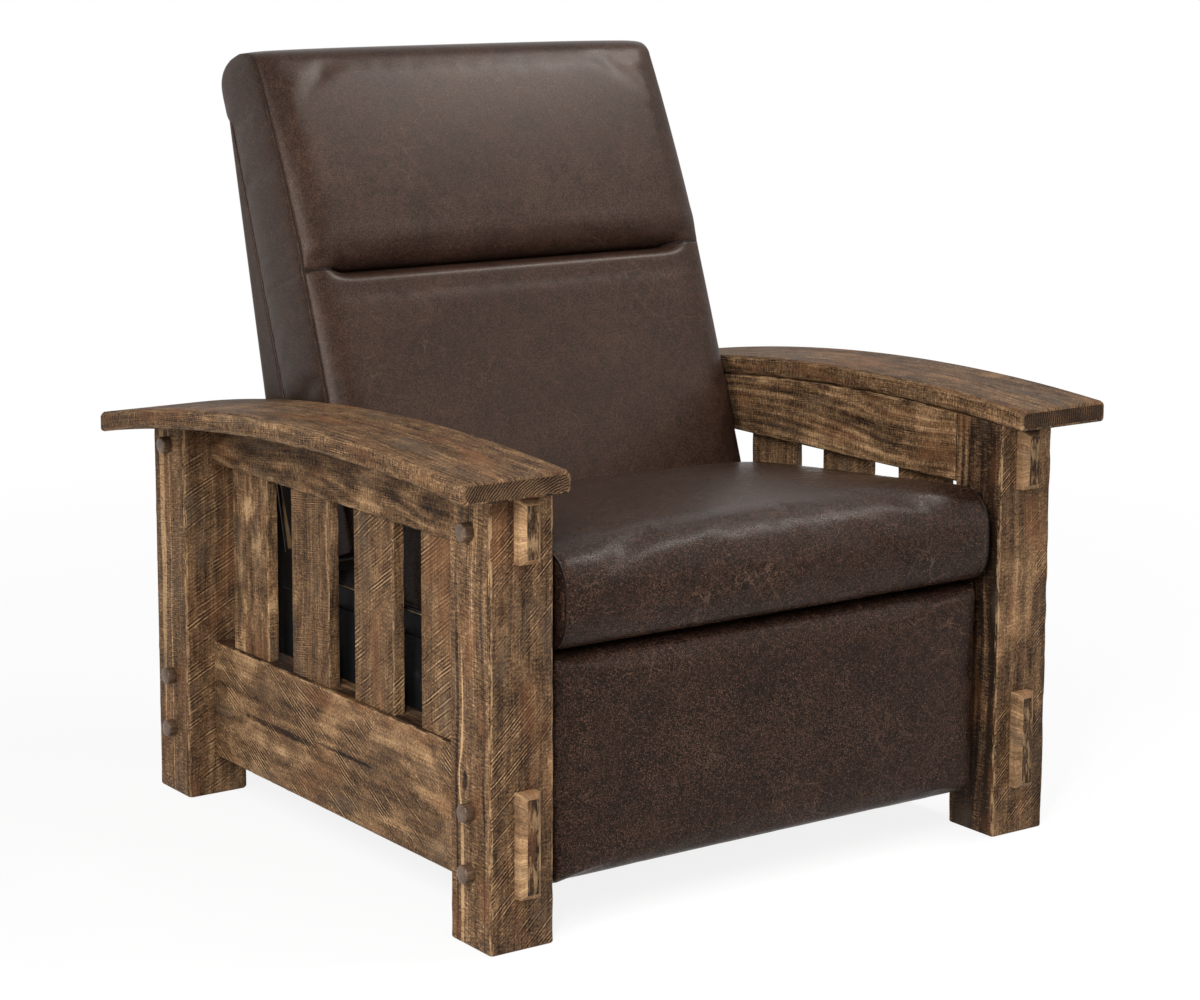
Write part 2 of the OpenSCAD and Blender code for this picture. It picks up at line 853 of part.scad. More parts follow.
function average(v) = [for (x = v) 1] * v / len(v);
function signed_pow(c, p) = sign(c) * pow(abs(c), p);
function hump(t, p) = pow(max(0, sin(180 * t)), p);

// Stations across a cushion: share of the half width, and the inset that rounds the end
side_arc = [90, 60, 30, 0];
function stations(half, r, inner) = concat(
  [for (a = side_arc) [-(half - r + r * sin(a)), r * (1 - cos(a))]],
  [for (i = [1:inner - 1]) [-(half - r) + 2 * (half - r) * i / inner, 0]],
  [for (i = [3:-1:0]) [half - r + r * sin(side_arc[i]), r * (1 - cos(side_arc[i]))]]
);

nose_len = 55;
nose_power = 0.7;
seat_top_steps = 12;
seat_edge_r = 12;
seat_pull = 5;

// Outline of the seat cushion in depth and height, for an inset and a share of the crown
function seat_outline(e, share) =
  let (
    y0 = front_y + seat_nose_at + e, y1 = seat_end_y - e,
    z0 = seat_z + e, z1 = seat_z + seat_t - e, nose_z = z0 + nose_lift,
    zc = (nose_z + z1) / 2, h = (z1 - nose_z) / 2, yc = y0 + nose_len,
    rear_z = z1 - seat_fall, rear_y = y1 + seat_rake * (rear_z - z0) / (z1 - z0)
  )
  concat(
    [for (i = [4:-1:1]) [yc + (y1 - yc) * i / 4, z0]],
    [[front_y + seat_frame_at + e, z0]],
    [for (a = [-90:-15:-270]) [yc + nose_len * signed_pow(cos(a), nose_power), zc + h * signed_pow(sin(a), nose_power)]],
    [for (i = [1:seat_top_steps])
      let (k = i / seat_top_steps)
        [yc + (rear_y - yc) * k, z1 - seat_fall * k + seat_crown * share * hump(0.08 + 0.84 * k, 0.6)]],
    [for (i = [1:3]) [y1 + (rear_y - y1) * (1 - i / 4), z0 + (rear_z - z0) * (1 - i / 4)]]
  );

module seat_cushion() {
  half = seat_half_w;
  color(leather) skin([
    for (s = stations(half, seat_edge_r, 12))
      let (share = pow(max(0, 1 - pow(s[0] / half, 2)), 0.6))
        [for (p = seat_outline(s[1], share))
          [s[0] - sign(s[0]) * seat_pull * pow(abs(s[0] / half), 6) * hump((p[0] - front_y) / (seat_end_y - front_y), 1),
            p[0], p[1]]]
  ]);
}

foot_edge_r = 9;
foot_crown = 5;
foot_flat = 3;

function foot_outline(e, share) =
  let (
    y1 = board_y, y0 = front_y + foot_at, z0 = foot_z + e, z1 = foot_z + foot_h - e,
    r = foot_pad_t - foot_crown - foot_flat - e
  )
  concat(
    [[y1, z1], [y1, z0]],
    [for (a = [-90:-22.5:-180]) [y0 + foot_crown + e + r + r * cos(a), z0 + r + r * sin(a)]],
    [for (i = [1:7]) [y0 + foot_crown * (1 - share * hump(i / 8, 0.6)) + e, z0 + r + (z1 - z0 - 2 * r) * i / 8]],
    [for (a = [180:-22.5:90]) [y0 + foot_crown + e + r + r * cos(a), z1 - r + r * sin(a)]]
  );

module footrest_pad() {
  half = foot_half_w;
  color(leather) skin([
    for (s = stations(half, foot_edge_r, 10))
      let (share = pow(max(0, 1 - pow(s[0] / half, 2)), 0.5))
        [for (p = foot_outline(s[1], share)) [s[0], p[0], p[1]]]
  ]);
}

module footrest_board() {
  color(softwood) translate([-foot_half_w + 8, board_y, foot_z + 6])
    cube([2 * foot_half_w - 16, foot_board_t, foot_h - 14]);
}

// The back cushion is drawn up its rear plane: a runs up the plane, b stands out of it
up_dir = [sin(back_lean), cos(back_lean)];
out_dir = [-cos(back_lean), sin(back_lean)];
back_foot = [front_y + back_plane_at, back_pivot_z];
function on_back(a, b) = back_foot + a * up_dir + b * out_dir;

back_first = 8;
back_edge_r = 14;
back_pull = 6;

// Stand-out of the front at the cushion's edge, and its two swells above and below the channel
function front_edge(a) = a < channel_up
  ? back_t_low + (back_t_mid - back_t_low) * hump(a / channel_up * 0.75, 1)
  : back_t_top + (back_t_mid - back_t_top) * 0.4 * (1 - (a - channel_up) / (back_len - channel_up));
function front_swell(a) = a < channel_up
  ? hump(0.12 + 0.88 * a / channel_up, 0.5)
  : hump((a - channel_up) / (back_len - ridge_len - channel_up) * 0.7, 0.45);

function back_outline(e, share) =
  let (top = back_len - ridge_len, rear_top = -roll_back, thick = front_edge(top))
  concat(
    [[0 + e, back_first + e], [front_edge(0) * 0.5, back_first + e]],
    [for (i = [0:18])
      let (a = back_first + e + 10 + (top - back_first - 10 - e) * i / 18)
        [front_edge(a) - e + (back_crown * share + 6) * front_swell(a) - 6
          - channel_depth * exp(-pow((a - channel_up) / 16, 2)) * min(1, 0.3 + share), a]],
    [for (t = [20:20:160])
      [(thick + rear_top) / 2 + (thick - rear_top) / 2 * cos(t) - e * cos(t), top + (ridge_len - e) * sin(t)]],
    [[rear_top + e, top], [rear_top + e, top - roll_drop + roll_slope], [0 + e, top - roll_drop]],
    [for (i = [1:5]) [0 + e, (top - roll_drop) * (1 - i / 6)]]
  );

module back_cushion() {
  half = back_half_w;
  color(leather) skin([
    for (s = stations(half, back_edge_r, 12))
      let (share = pow(max(0, 1 - pow(s[0] / half, 2)), 0.6))
        [for (p = back_outline(s[1] * 0.9, share))
          let (q = on_back(p[1], p[0]))
            [s[0] - sign(s[0]) * back_pull * pow(abs(s[0] / half), 6) * hump(p[1] / back_len, 1), q[0], q[1]]]
  ]);
}

// Back frame and outer back

module wedge_member(z0, z1) {
  shy = outer_t / cos(outer_lean);
  polygon([
    [plane_y(z0) + soft_gap, z0], [plane_y(z1) + soft_gap, z1],
    [outer_y(z1) - shy, z1], [outer_y(z0) - shy, z0]
  ]);
}

module back_stiles() {
  color(softwood) both_sides()
    side_plate(stile_x - stile_w, stile_w) wedge_member(stile_low_z, stile_top_z);
}

module back_cross_rail(z0, z1) {
  half = stile_x - stile_w;
  color(softwood) side_plate(-half, 2 * half) wedge_member(z0, z1);
}

back_rail_h = 60;
back_rail_rise = 20;
back_rail_low = stile_low_z + back_rail_rise;
back_rail_high = stile_top_z - back_rail_h;

module back_top_rail() {
  back_cross_rail(back_rail_high, stile_top_z);
}

module back_bottom_rail() {
  back_cross_rail(back_rail_low, back_rail_low + back_rail_h);
}

// The back springs share the open height between the two rails, measured up the slope
back_spring_count = 5;
back_spring_end = 58.5;
back_spring_first = (back_rail_low + back_rail_h - back_pivot_z) / cos(back_lean) + back_spring_end;
back_spring_last = (back_rail_high - back_pivot_z) / cos(back_lean) - back_spring_end;
back_spring_pitch = (back_spring_last - back_spring_first) / (back_spring_count - 1);

module back_springs() {
  half = stile_x - stile_w;
  color("silver") for (i = [0:back_spring_count - 1]) {
    foot = on_back(back_spring_first + i * back_spring_pitch, 0);
    translate([-half, foot[0], foot[1]]) rotate([90 - back_lean, 0, 0])
      translate([0, 0, -spring_wire]) linear_extrude(spring_wire)
        zigzag(2 * half, spring_half, back_spring_waves, spring_wire);
  }
}

module outer_back() {
  shy = outer_t / cos(outer_lean);
  low = stile_low_z;
  side = back_bracket_top + back_arm_r + outer_side_gap;
  top = outer_top_z;
  color(leather) {
    side_plate(-stile_x - outer_t, 2 * (stile_x + outer_t))
      polygon([[outer_y(low) - shy, low], [outer_y(low), low], [outer_y(top), top], [outer_y(top) - shy, top]]);
    both_sides() side_plate(stile_x, outer_t)
      polygon([[plane_y(side), side], [plane_y(top), top], [outer_y(top), top], [outer_y(side), side]]);
  }
}

mirror([1, 0, 0]) post(front_y);  // left_front_post
post(front_y);  // right_front_post
mirror([1, 0, 0]) post(rear_y - post_d);  // left_rear_post
post(rear_y - post_d);  // right_rear_post
mirror([1, 0, 0]) arm_bored();  // left_arm
arm_bored();  // right_arm
mirror([1, 0, 0]) bottom_rail();  // left_bottom_rail
bottom_rail();  // right_bottom_rail
mirror([1, 0, 0]) top_rail();  // left_top_rail
top_rail();  // right_top_rail
mirror([1, 0, 0]) slats();  // left_slats
slats();  // right_slats
tenon_ends();
pegs();
rear_rail();
centre_stretcher();
frame_screws();
mirror([1, 0, 0]) base_bracket();  // left_base_bracket
base_bracket();  // right_base_bracket
base_rivets();
mirror([1, 0, 0]) front_swing_link();  // left_front_swing_link
front_swing_link();  // right_front_swing_link
mirror([1, 0, 0]) rear_swing_link();  // left_rear_swing_link
rear_swing_link();  // right_rear_swing_link
mirror([1, 0, 0]) seat_plate();  // left_seat_plate
seat_plate();  // right_seat_plate
seat_rivets();
seat_screws();
tie_tube();
seat_front_rail();
seat_rear_rail();
seat_side_rails();
seat_springs();
seat_deck();
seat_cushion();
mirror([1, 0, 0]) main_link();  // left_main_link
main_link();  // right_main_link
main_rivets();
mirror([1, 0, 0]) scissor_link();  // left_scissor_link
scissor_link();  // right_scissor_link
mirror([1, 0, 0]) cross_link();  // left_cross_link
cross_link();  // right_cross_link
cross_rivets();
mirror([1, 0, 0]) footrest_link();  // left_footrest_link
footrest_link();  // right_footrest_link
mirror([1, 0, 0]) footrest_bracket();  // left_footrest_bracket
footrest_bracket();  // right_footrest_bracket
footrest_rivets();
footrest_board();
footrest_pad();
mirror([1, 0, 0]) back_bracket();  // left_back_bracket
back_bracket();  // right_back_bracket
stop_pins();
back_stiles();
back_top_rail();
back_bottom_rail();
back_springs();
outer_back();
back_cushion();
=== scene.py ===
import json
import math

import bpy
import numpy as np
from mathutils import Matrix, Vector


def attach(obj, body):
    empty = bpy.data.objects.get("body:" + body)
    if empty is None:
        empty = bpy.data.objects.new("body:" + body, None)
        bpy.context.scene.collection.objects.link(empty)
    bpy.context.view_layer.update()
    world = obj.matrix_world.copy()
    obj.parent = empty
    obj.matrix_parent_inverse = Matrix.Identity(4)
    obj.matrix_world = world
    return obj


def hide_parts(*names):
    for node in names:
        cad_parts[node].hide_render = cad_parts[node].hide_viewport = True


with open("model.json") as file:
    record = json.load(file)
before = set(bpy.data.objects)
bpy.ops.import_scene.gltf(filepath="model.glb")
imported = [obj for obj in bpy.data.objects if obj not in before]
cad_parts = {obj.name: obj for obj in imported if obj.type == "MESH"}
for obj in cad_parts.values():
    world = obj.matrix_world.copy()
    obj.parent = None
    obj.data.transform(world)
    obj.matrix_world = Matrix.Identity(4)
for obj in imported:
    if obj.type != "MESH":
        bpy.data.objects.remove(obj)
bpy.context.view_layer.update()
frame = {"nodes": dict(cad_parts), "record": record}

scene = bpy.context.scene
mm = 0.001
print("recliner: frame loaded,", len(frame["nodes"]), "CAD nodes")


# Camera, at the photograph's viewing angle

camera = {"place": (-2.2879, -3.2667, 1.2442), "azimuth": -35.192, "elevation": 9.145, "roll": 0.145,
          "lens": 88.384, "sensor": 36, "shift": -0.1, "farthest": 60}


def aimCamera(look):
    a, e, r = (math.radians(look[k]) for k in ("azimuth", "elevation", "roll"))
    back = Vector((math.sin(a) * math.cos(e), -math.cos(a) * math.cos(e), math.sin(e)))
    right = Vector((0, 0, 1)).cross(back).normalized()
    up = back.cross(right)
    turned = (math.cos(r) * right + math.sin(r) * up, math.cos(r) * up - math.sin(r) * right, back)
    data = bpy.data.cameras.new("camera")
    data.lens, data.sensor_width, data.sensor_fit = look["lens"], look["sensor"], "HORIZONTAL"
    data.shift_y, data.clip_end = look["shift"], look["farthest"]
    made = bpy.data.objects.new("camera", data)
    made.matrix_world = Matrix.Translation(look["place"]) @ Matrix(turned).transposed().to_4x4()
    scene.collection.objects.link(made)
    scene.camera = made


aimCamera(camera)
print("recliner: camera set")


# Shader sums: an expression on wires adds its Math nodes

class Wire:
    def __init__(self, finish, socket):
        self.finish, self.socket = finish, socket

    def sum(self, operation, other, swapped=False):
        pair = (other, self) if swapped else (self, other)
        return self.finish.node("ShaderNodeMath", {"operation": operation}, pair)

    def __add__(self, other):
        return self.sum("ADD", other)

    def __sub__(self, other):
        return self.sum("SUBTRACT", other)

    def __rsub__(self, other):
        return self.sum("SUBTRACT", other, True)

    def __mul__(self, other):
        return self.sum("MULTIPLY", other)

    def __truediv__(self, other):
        return self.sum("DIVIDE", other)

    def __pow__(self, other):
        return self.sum("POWER", other)

    __radd__ = __add__
    __rmul__ = __mul__


def tint(red, green, blue):
    # a screen colour of 0 to 255 as the linear colour that the shader takes
    share = np.array([red, green, blue]) / 255
    linear = np.where(share <= 0.04045, share / 12.92, ((share + 0.055) / 1.055) ** 2.4)
    return (*linear.tolist(), 1.0)


class Finish:
    def __init__(self, name, kind=bpy.data.materials):
        self.made = kind.new(name)
        self.made.use_nodes = True
        self.tree = self.made.node_tree
        self.tree.nodes.clear()

    # the one way to add a node: its type, its settings first, then values or wires by socket
    def node(self, kind, settings=None, values=(), output=0):
        made = self.tree.nodes.new(kind)
        for key, value in (settings or {}).items():
            if key == "stops":
                stops = made.color_ramp.elements
                while len(stops) < len(value):
                    stops.new(0.5)
                for stop, (place, colour) in zip(stops, value):
                    stop.position, stop.color = place, colour
            else:
                setattr(made, key, value)
        for key, value in values.items() if isinstance(values, dict) else enumerate(values):
            if isinstance(value, Wire):
                self.tree.links.new(value.socket, made.inputs[key])
            elif value is not None:
                made.inputs[key].default_value = value
        return Wire(self, made.outputs[output])

    def join(self, x, y, z=0.0):
        return self.node("ShaderNodeCombineXYZ", None, (x, y, z))

    def split(self, vector):
        first = self.node("ShaderNodeSeparateXYZ", None, (vector,))
        return [Wire(self, s) for s in first.socket.node.outputs]

    def noise(self, vector, scale, detail=2.0, rough=0.5):
        return self.node("ShaderNodeTexNoise", None, {
            "Vector": vector, "Scale": scale, "Detail": detail, "Roughness": rough})

    def cells(self, vector, scale, feature, output=0):
        return self.node("ShaderNodeTexVoronoi", {"feature": feature}, {"Vector": vector, "Scale": scale}, output)

    # 0 below low, 1 above high, with a smooth step between; high may be the lower one
    def step(self, value, low, high):
        return self.node("ShaderNodeMapRange", {"interpolation_type": "SMOOTHSTEP"}, (value, low, high, 0.0, 1.0))

    def blend(self, factor, first, second):
        mixed = {0: factor, 6: first, 7: second}
        return self.node("ShaderNodeMix", {"data_type": "RGBA", "clamp_factor": True}, mixed, 2)

    def ramp(self, value, *stops):
        return self.node("ShaderNodeValToRGB", {"stops": stops}, (value,))

    def bump(self, height, reach):
        return self.node("ShaderNodeBump", None, {"Distance": reach, "Height": height, "Strength": 1.0})

    def sine(self, value):
        return self.node("ShaderNodeMath", {"operation": "SINE"}, (value,))

    def place(self):
        return self.node("ShaderNodeTexCoord", None, (), 3)

    def onBoard(self):
        # across and along a board, in metres of its surface
        return self.split(self.node("ShaderNodeUVMap", {"uv_map": "grain"}))[:2]

    def mark(self, name):
        return self.node("ShaderNodeAttribute", {"attribute_name": name}, (), 2)

    def show(self, wire, kind="ShaderNodeOutputMaterial"):
        self.tree.links.new(wire.socket, self.tree.nodes.new(kind).inputs[0])
        return self.made

    def close(self, values):
        return self.show(self.node("ShaderNodeBsdfPrincipled", None, values))


# Wood: rough-sawn, stained brown, worn pale along its edges

woodTones = {
    "deep": tint(32, 22, 15), "dark": tint(70, 51, 36), "middle": tint(101, 77, 54), "light": tint(138, 107, 77),
    "pale": tint(176, 143, 105), "red": tint(118, 76, 48), "grey": tint(82, 71, 60),
}
# how far each noise lifts the surface, as a share of woodBump
woodRelief = {"fibreDepth": 0.2, "bandDepth": 0.15, "speckDepth": 0.3, "tickDepth": 0.3}
woodBump = 1.2 * mm


def woodFinish(name, look):
    f = Finish(name)
    across, along = f.onBoard()
    tones = woodTones

    def layer(side, stretch, shift, *settings):
        # a noise on the board, with its own stretch along the grain and its own shift of the seed
        return f.noise(f.join(side, along * stretch, look["seed"] + shift), *settings)

    # fibres wander sideways along the board, and part round each knot
    slow = layer(across * 0.5, 1.0, 0.0, 4.0, 1.0)
    grain = across + (slow - 0.5) * 0.03
    core = 0.0
    for knotAcross, knotAlong, wide, long in look.get("knots", ()):
        sideways, lengthways = across - knotAcross, along - knotAlong
        far = (sideways / wide) ** 2.0 + (lengthways / long) ** 2.0
        grain = grain - sideways * (f.step(far, 9.0, 0.0) * 0.75)
        ragged = far + (layer(across, 0.4, 0.0, 160.0) - 0.5) * 1.6
        core = f.step(ragged, 1.0, 0.45) + core
    # pale patches rubbed smooth, on the dark sawn ground
    pale = f.step(layer(across, 0.55, 9.0, look["patches"], 3.0, 0.62), look["paleFrom"], look["paleFrom"] + 0.14)
    layers = {
        "bandDepth": layer(grain, 0.04, 0.0, 70.0, 3.0, 0.6),
        "fibreDepth": layer(grain, 0.03, 4.0, 380.0, 3.0, 0.7),
        "speckDepth": layer(across, 0.8, 5.0, 360.0, 2.0, 0.6),
        "tickDepth": layer(across * 0.25, 1.0, 15.0, 380.0, 2.0, 0.6),
        "mottleDepth": layer(across, 0.5, 17.0, 48.0, 4.0, 0.65),
    }
    fibres = layers["fibreDepth"]
    streaks = layer(grain, 0.01, 7.0, 62.0, 2.0, 0.45)
    tone = look["tone"] + pale * look["paleDepth"] \
        + (f.step(streaks, 0.6, 0.64) - f.step(streaks, 0.41, 0.36) * 0.7) * look["streakDepth"]
    for depth, wire in layers.items():
        tone = tone + (wire - 0.5) * look[depth]
    if "figure" in look:
        # long arches of the annual rings, cut flat
        centre, spacing, depth = look["figure"]
        ring = ((grain - centre) ** 2.0 + (along * 0.1) ** 2.0) ** 0.5 + (slow - 0.5) * 0.02 + (fibres - 0.5) * 0.0015
        tone = tone + f.sine(ring * (2 * math.pi / spacing)) * depth
    # saw lines: even waves across the blade's path; a noise sets each line's strength, and the pale patches lose them
    angle, spacing, sawDepth = look["saw"]
    c, s = math.cos(math.radians(angle)), math.sin(math.radians(angle))
    path = across * c + along * s
    step = along * c - across * s + (slow - 0.5) * 0.01 + (layer(across, 1.0, 8.0, 14.0, 1.0) - 0.5) * spacing * 2.0
    wave = f.sine(step * (2 * math.pi / spacing))
    strong = f.noise(f.join(step, path * 0.07, look["seed"] + 2.0), 0.75 / spacing, 2.0, 0.6)
    sawn = f.step(layer(across, 1.0, 13.0, 13.0), 0.4, 0.6)
    force = f.step(strong, 0.42, 0.66) * (1.0 - pale * 0.8) * (sawn * 0.8 + 0.2)
    ridge, groove = f.step(wave, 0.4, 0.95) * force, f.step(wave, -0.45, -0.95) * force
    flecks = f.step(layer(across, 0.12, 3.0, 320.0, 2.0, 0.7), 0.62, 0.72)
    tone = tone + (ridge * 0.8 - groove) * sawDepth - flecks * look["flecks"] - core * 0.4
    colour = f.ramp(tone, (0.0, tones["deep"]), (0.25, tones["dark"]), (0.5, tones["middle"]), (0.75, tones["light"]),
                    (1.0, tones["pale"]))
    hue = layer(across, 0.3, 12.0, 22.0)
    colour = f.blend(f.step(hue, 0.52, 0.72) * 0.35, colour, tones["red"])
    colour = f.blend(f.step(hue, 0.46, 0.3) * 0.35, colour, tones["grey"])
    # worn edges: pale, of uneven width, broken up by a noise
    rubbed = f.mark("edge") + (layer(across * 2.0, 0.35, 1.0, 90.0, 3.0, 0.7) - 0.5) * 2.4
    colour = f.blend(f.step(rubbed, 0.92, 1.3) * look["wear"], colour, tones["pale"])
    height = (ridge - groove) * 0.25 - flecks * 0.2 - core * 0.4
    for depth, share in woodRelief.items():
        height = height + (layers[depth] - 0.5) * share
    rough = 0.6 + (fibres - 0.5) * 0.3 + flecks * 0.1
    return f.close({"Base Color": colour, "Roughness": rough, "Specular IOR Level": 0.07,
                    "Normal": f.bump(height, woodBump)})


def endGrainFinish(name, heart, lift):
    # rings about a heart that lies off the board's end
    f = Finish(name)
    across, along = f.onBoard()
    far = ((across - heart[0]) ** 2.0 + (along - heart[1]) ** 2.0) ** 0.5
    rings = f.sine((far + (f.noise(f.join(across, along), 60.0, 3.0) - 0.5) * 0.006) * (2 * math.pi / (3.3 * mm)))
    pores = f.noise(f.join(across, along), 520.0, 2.0, 0.7)
    soil = f.noise(f.join(across, along, 3.0), 30.0, 3.0)
    tone = lift + f.step(rings, -0.6, 0.9) * 0.5 + (pores - 0.5) * 1.2 + (soil - 0.5) * 0.9
    colour = f.ramp(tone, *zip((0.0, 0.35, 0.65, 1.0), (woodTones[k] for k in ("deep", "dark", "middle", "light"))))
    return f.close({"Base Color": colour, "Roughness": 0.7, "Specular IOR Level": 0.08,
                    "Normal": f.bump(rings * 0.2 + pores, 0.8 * mm)})


plain = {"patches": 11.0, "paleFrom": 0.5, "paleDepth": 0.26, "bandDepth": 0.8, "fibreDepth": 0.9, "speckDepth": 1.0,
         "tickDepth": 0.6, "mottleDepth": 0.9, "streakDepth": 0.08, "flecks": 0.1, "wear": 0.5}


def wood(seed, tone, saw, **changes):
    # saw: angle of the blade's path in degrees, spacing of its lines in mm, and how strongly they show
    return {**plain, "seed": seed, "tone": tone, "saw": (saw[0], saw[1] * mm, saw[2]), **changes}


woods = {
    "postSideWood": wood(1.0, 0.46, (3.0, 2.8, 0.2), paleFrom=0.6, streakDepth=0.5, tickDepth=1.2,
                         knots=((-0.052, 0.205, 0.006, 0.014),)),
    "postFaceWood": wood(2.0, 0.3, (43.0, 3.9, 0.75), bandDepth=0.6, fibreDepth=0.7),
    "rearFaceWood": wood(3.0, 0.36, (27.0, 4.8, 0.75), bandDepth=0.6, fibreDepth=0.7, paleFrom=0.56),
    # innerWoodPaintedShade: its dark tone is painted shade: the arms' shadow on the posts' inner faces, and shade under
    # the arms and on the rails' inner, top and bottom faces
    "innerWoodPaintedShade": wood(4.0, 0.14, (8.0, 3.6, 0.24), streakDepth=0.3, tickDepth=1.0),
    "bottomRailWood": wood(5.0, 0.42, (-62.0, 5.0, 0.8), bandDepth=0.7, fibreDepth=0.7, paleDepth=0.3,
                           knots=((-0.078, 0.50, 0.005, 0.12), (-0.085, 0.33, 0.003, 0.09))),
    "topRailWood": wood(6.0, 0.39, (84.0, 3.2, 0.24), figure=(-0.04, 12 * mm, 0.1), tickDepth=1.0, bandDepth=1.0),
    "slatMottled": wood(7.0, 0.46, (2.0, 4.0, 0.2), patches=20.0, paleDepth=0.4, mottleDepth=1.4),
    "slatTicked": wood(7.5, 0.4, (8.0, 3.0, 0.5), paleFrom=0.56),
    "slatSawn": wood(7.8, 0.46, (33.0, 4.6, 0.85), bandDepth=0.6, fibreDepth=0.6, paleFrom=0.58),
    "armTopWood": wood(8.0, 0.32, (88.0, 3.4, 0.12), flecks=0.6, paleDepth=0.1, bandDepth=0.6, fibreDepth=1.3,
                       speckDepth=1.2, wear=0.2),
    "armSideWood": wood(9.0, 0.38, (86.0, 2.8, 0.4), paleDepth=0.1, bandDepth=0.9, tickDepth=1.2, wear=0.3),
    "tenonFace": wood(10.0, 0.12, (12.0, 3.6, 0.0), paleDepth=0.1, tickDepth=0.4, mottleDepth=0.5, wear=0.4),
    # tenonSidePaintedLight: its light tone is painted light, the key lamp's light on the tenons' sides and chamfers,
    # which show lighter than their faces
    "tenonSidePaintedLight": wood(11.0, 0.62, (12.0, 3.6, 0.0), bandDepth=0.5, speckDepth=0.6, tickDepth=0.3, mottleDepth=0.5),
}
# name: place of the heart across and along, and how light the end is
endGrains = {
    "armEndWood": ((-0.09, -0.11), 0.05),
    "armEndDark": ((0.11, -0.08), -0.12),
    "endWood": ((-0.03, -0.06), 0.2),
}
finishes = {name: woodFinish(name, look) for name, look in woods.items()}
finishes.update({name: endGrainFinish(name, *look) for name, look in endGrains.items()})
print("recliner: wood finishes made")


# Leather: dark brown, pebbled, with lighter mottles and fine cracks of the finish

leather = {
    "dark": tint(16, 10, 7), "middle": tint(38, 25, 19), "light": tint(86, 62, 50),
    # seam: near-black, the stitch line's own dark with painted shade of its groove, and on the back the painted shade
    # of the channel's crease
    "warm": tint(52, 33, 23), "vein": tint(116, 90, 74), "seam": tint(10, 8, 7), "tint": tint(255, 240, 228),
    "pebbles": 440.0, "cracks": 30.0, "grain": 1.0, "relief": 0.2 * mm, "rough": 0.32, "shine": 0.11,
}
# the head and back are drawn smoother over their filling
backLeather = {**leather, "middle": tint(47, 32, 25), "vein": tint(98, 75, 61), "pebbles": 520.0, "cracks": 38.0,
               "grain": 0.6, "relief": 0.07 * mm, "rough": 0.36, "shine": 0.14}


def leatherFinish(name, look):
    f = Finish(name)
    spot = f.place()
    x, y, z = f.split(spot)
    stir = f.noise(spot, 30.0, 4.0, 0.7) - 0.5
    stirred = f.join(x + stir * 0.06, y + stir * 0.04, z - stir * 0.06)
    # pebbles: creases round every cell, and a shade of its own for each
    creases = f.step(f.cells(spot, look["pebbles"], "DISTANCE_TO_EDGE"), 0.0, 0.22)
    shades = f.cells(spot, look["pebbles"], "F1", 1)
    grain = f.noise(spot, look["pebbles"] * 1.3, 2.0, 0.6)
    clouds = f.noise(spot, 11.0, 4.0, 0.62)
    blots = f.noise(spot, 60.0, 3.0, 0.65)
    cracks = f.step(f.cells(stirred, look["cracks"], "DISTANCE_TO_EDGE"), 0.035, 0.0)
    shown = f.step(f.noise(spot, 9.0, 3.0, 0.6), 0.46, 0.7)
    tone = 0.49 + (clouds - 0.5) * 0.36 + (blots - 0.5) * 0.3 \
        + ((creases - 0.7) * 0.5 + (shades - 0.5) * 0.45 + (grain - 0.5) * 1.6) * look["grain"]
    colour = f.ramp(tone, (0.1, look["dark"]), (0.5, look["middle"]), (0.95, look["light"]))
    colour = f.blend(f.step(f.noise(spot, 17.0, 3.0, 0.6), 0.5, 0.75) * 0.25, colour, look["warm"])
    colour = f.blend(cracks * shown * 0.34, colour, look["vein"])
    # the seam mark is painted near-black: the stitch line's dark and painted shade in its groove; along the back's
    # channel it is the painted shade of the crease
    seam = f.step(f.mark("seam"), 0.3, 0.7)
    colour = f.blend(seam * 0.92, colour, look["seam"])
    height = (grain - 0.5) * 0.5 + creases * 0.5 + (blots - 0.5) * 0.15
    rough = look["rough"] + (blots - 0.5) * 0.12 - creases * 0.04 + seam * 0.2
    return f.close({"Base Color": colour, "Roughness": rough, "Specular IOR Level": look["shine"],
                    "Specular Tint": look["tint"], "Normal": f.bump(height, look["relief"])})


finishes["leather"] = leatherFinish("leather", leather)
finishes["backLeather"] = leatherFinish("backLeather", backLeather)


# Meshes: what every piece is made with

def newPiece(name, points, faces):
    mesh = bpy.data.meshes.new(name)
    mesh.from_pydata(points.reshape(-1, 3).tolist(), [], faces)
    piece = bpy.data.objects.new(name, mesh)
    scene.collection.objects.link(piece)
    return piece


def dress(piece, body, names, nodes=()):
    for name in names:
        piece.data.materials.append(finishes[name])
    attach(piece, body)
    if nodes:
        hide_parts(*nodes)


def applyModifiers(piece):
    bpy.context.view_layer.update()
    mesh = bpy.data.meshes.new_from_object(piece.evaluated_get(bpy.context.evaluated_depsgraph_get()))
    piece.modifiers.clear()
    piece.data = mesh
    mesh.polygons.foreach_set("use_smooth", [True] * len(mesh.polygons))


def coordinates(mesh, what="co"):
    flat = np.empty(len(mesh.vertices) * 3, np.float32)
    mesh.vertices.foreach_get(what, flat)
    return flat.reshape(-1, 3).astype(float)


def joined(*parts, axis=0):
    return np.concatenate(parts, axis)


def surface(x, y, z):
    # three coordinates, each spread over the grid, as points
    return np.stack(np.broadcast_arrays(x, y, z), -1)


def numbers(rows, columns, closed=False):
    # the point numbers of a grid; a closed one meets its first column again
    at = np.arange(rows * columns).reshape(rows, columns)
    return joined(at, at[:, :1], axis=1) if closed else at


def gridQuads(at):
    # the four corners of every quad of a numbered grid, row by row
    return np.stack([at[:-1, :-1], at[:-1, 1:], at[1:, 1:], at[1:, :-1]], -1).reshape(-1, 4)


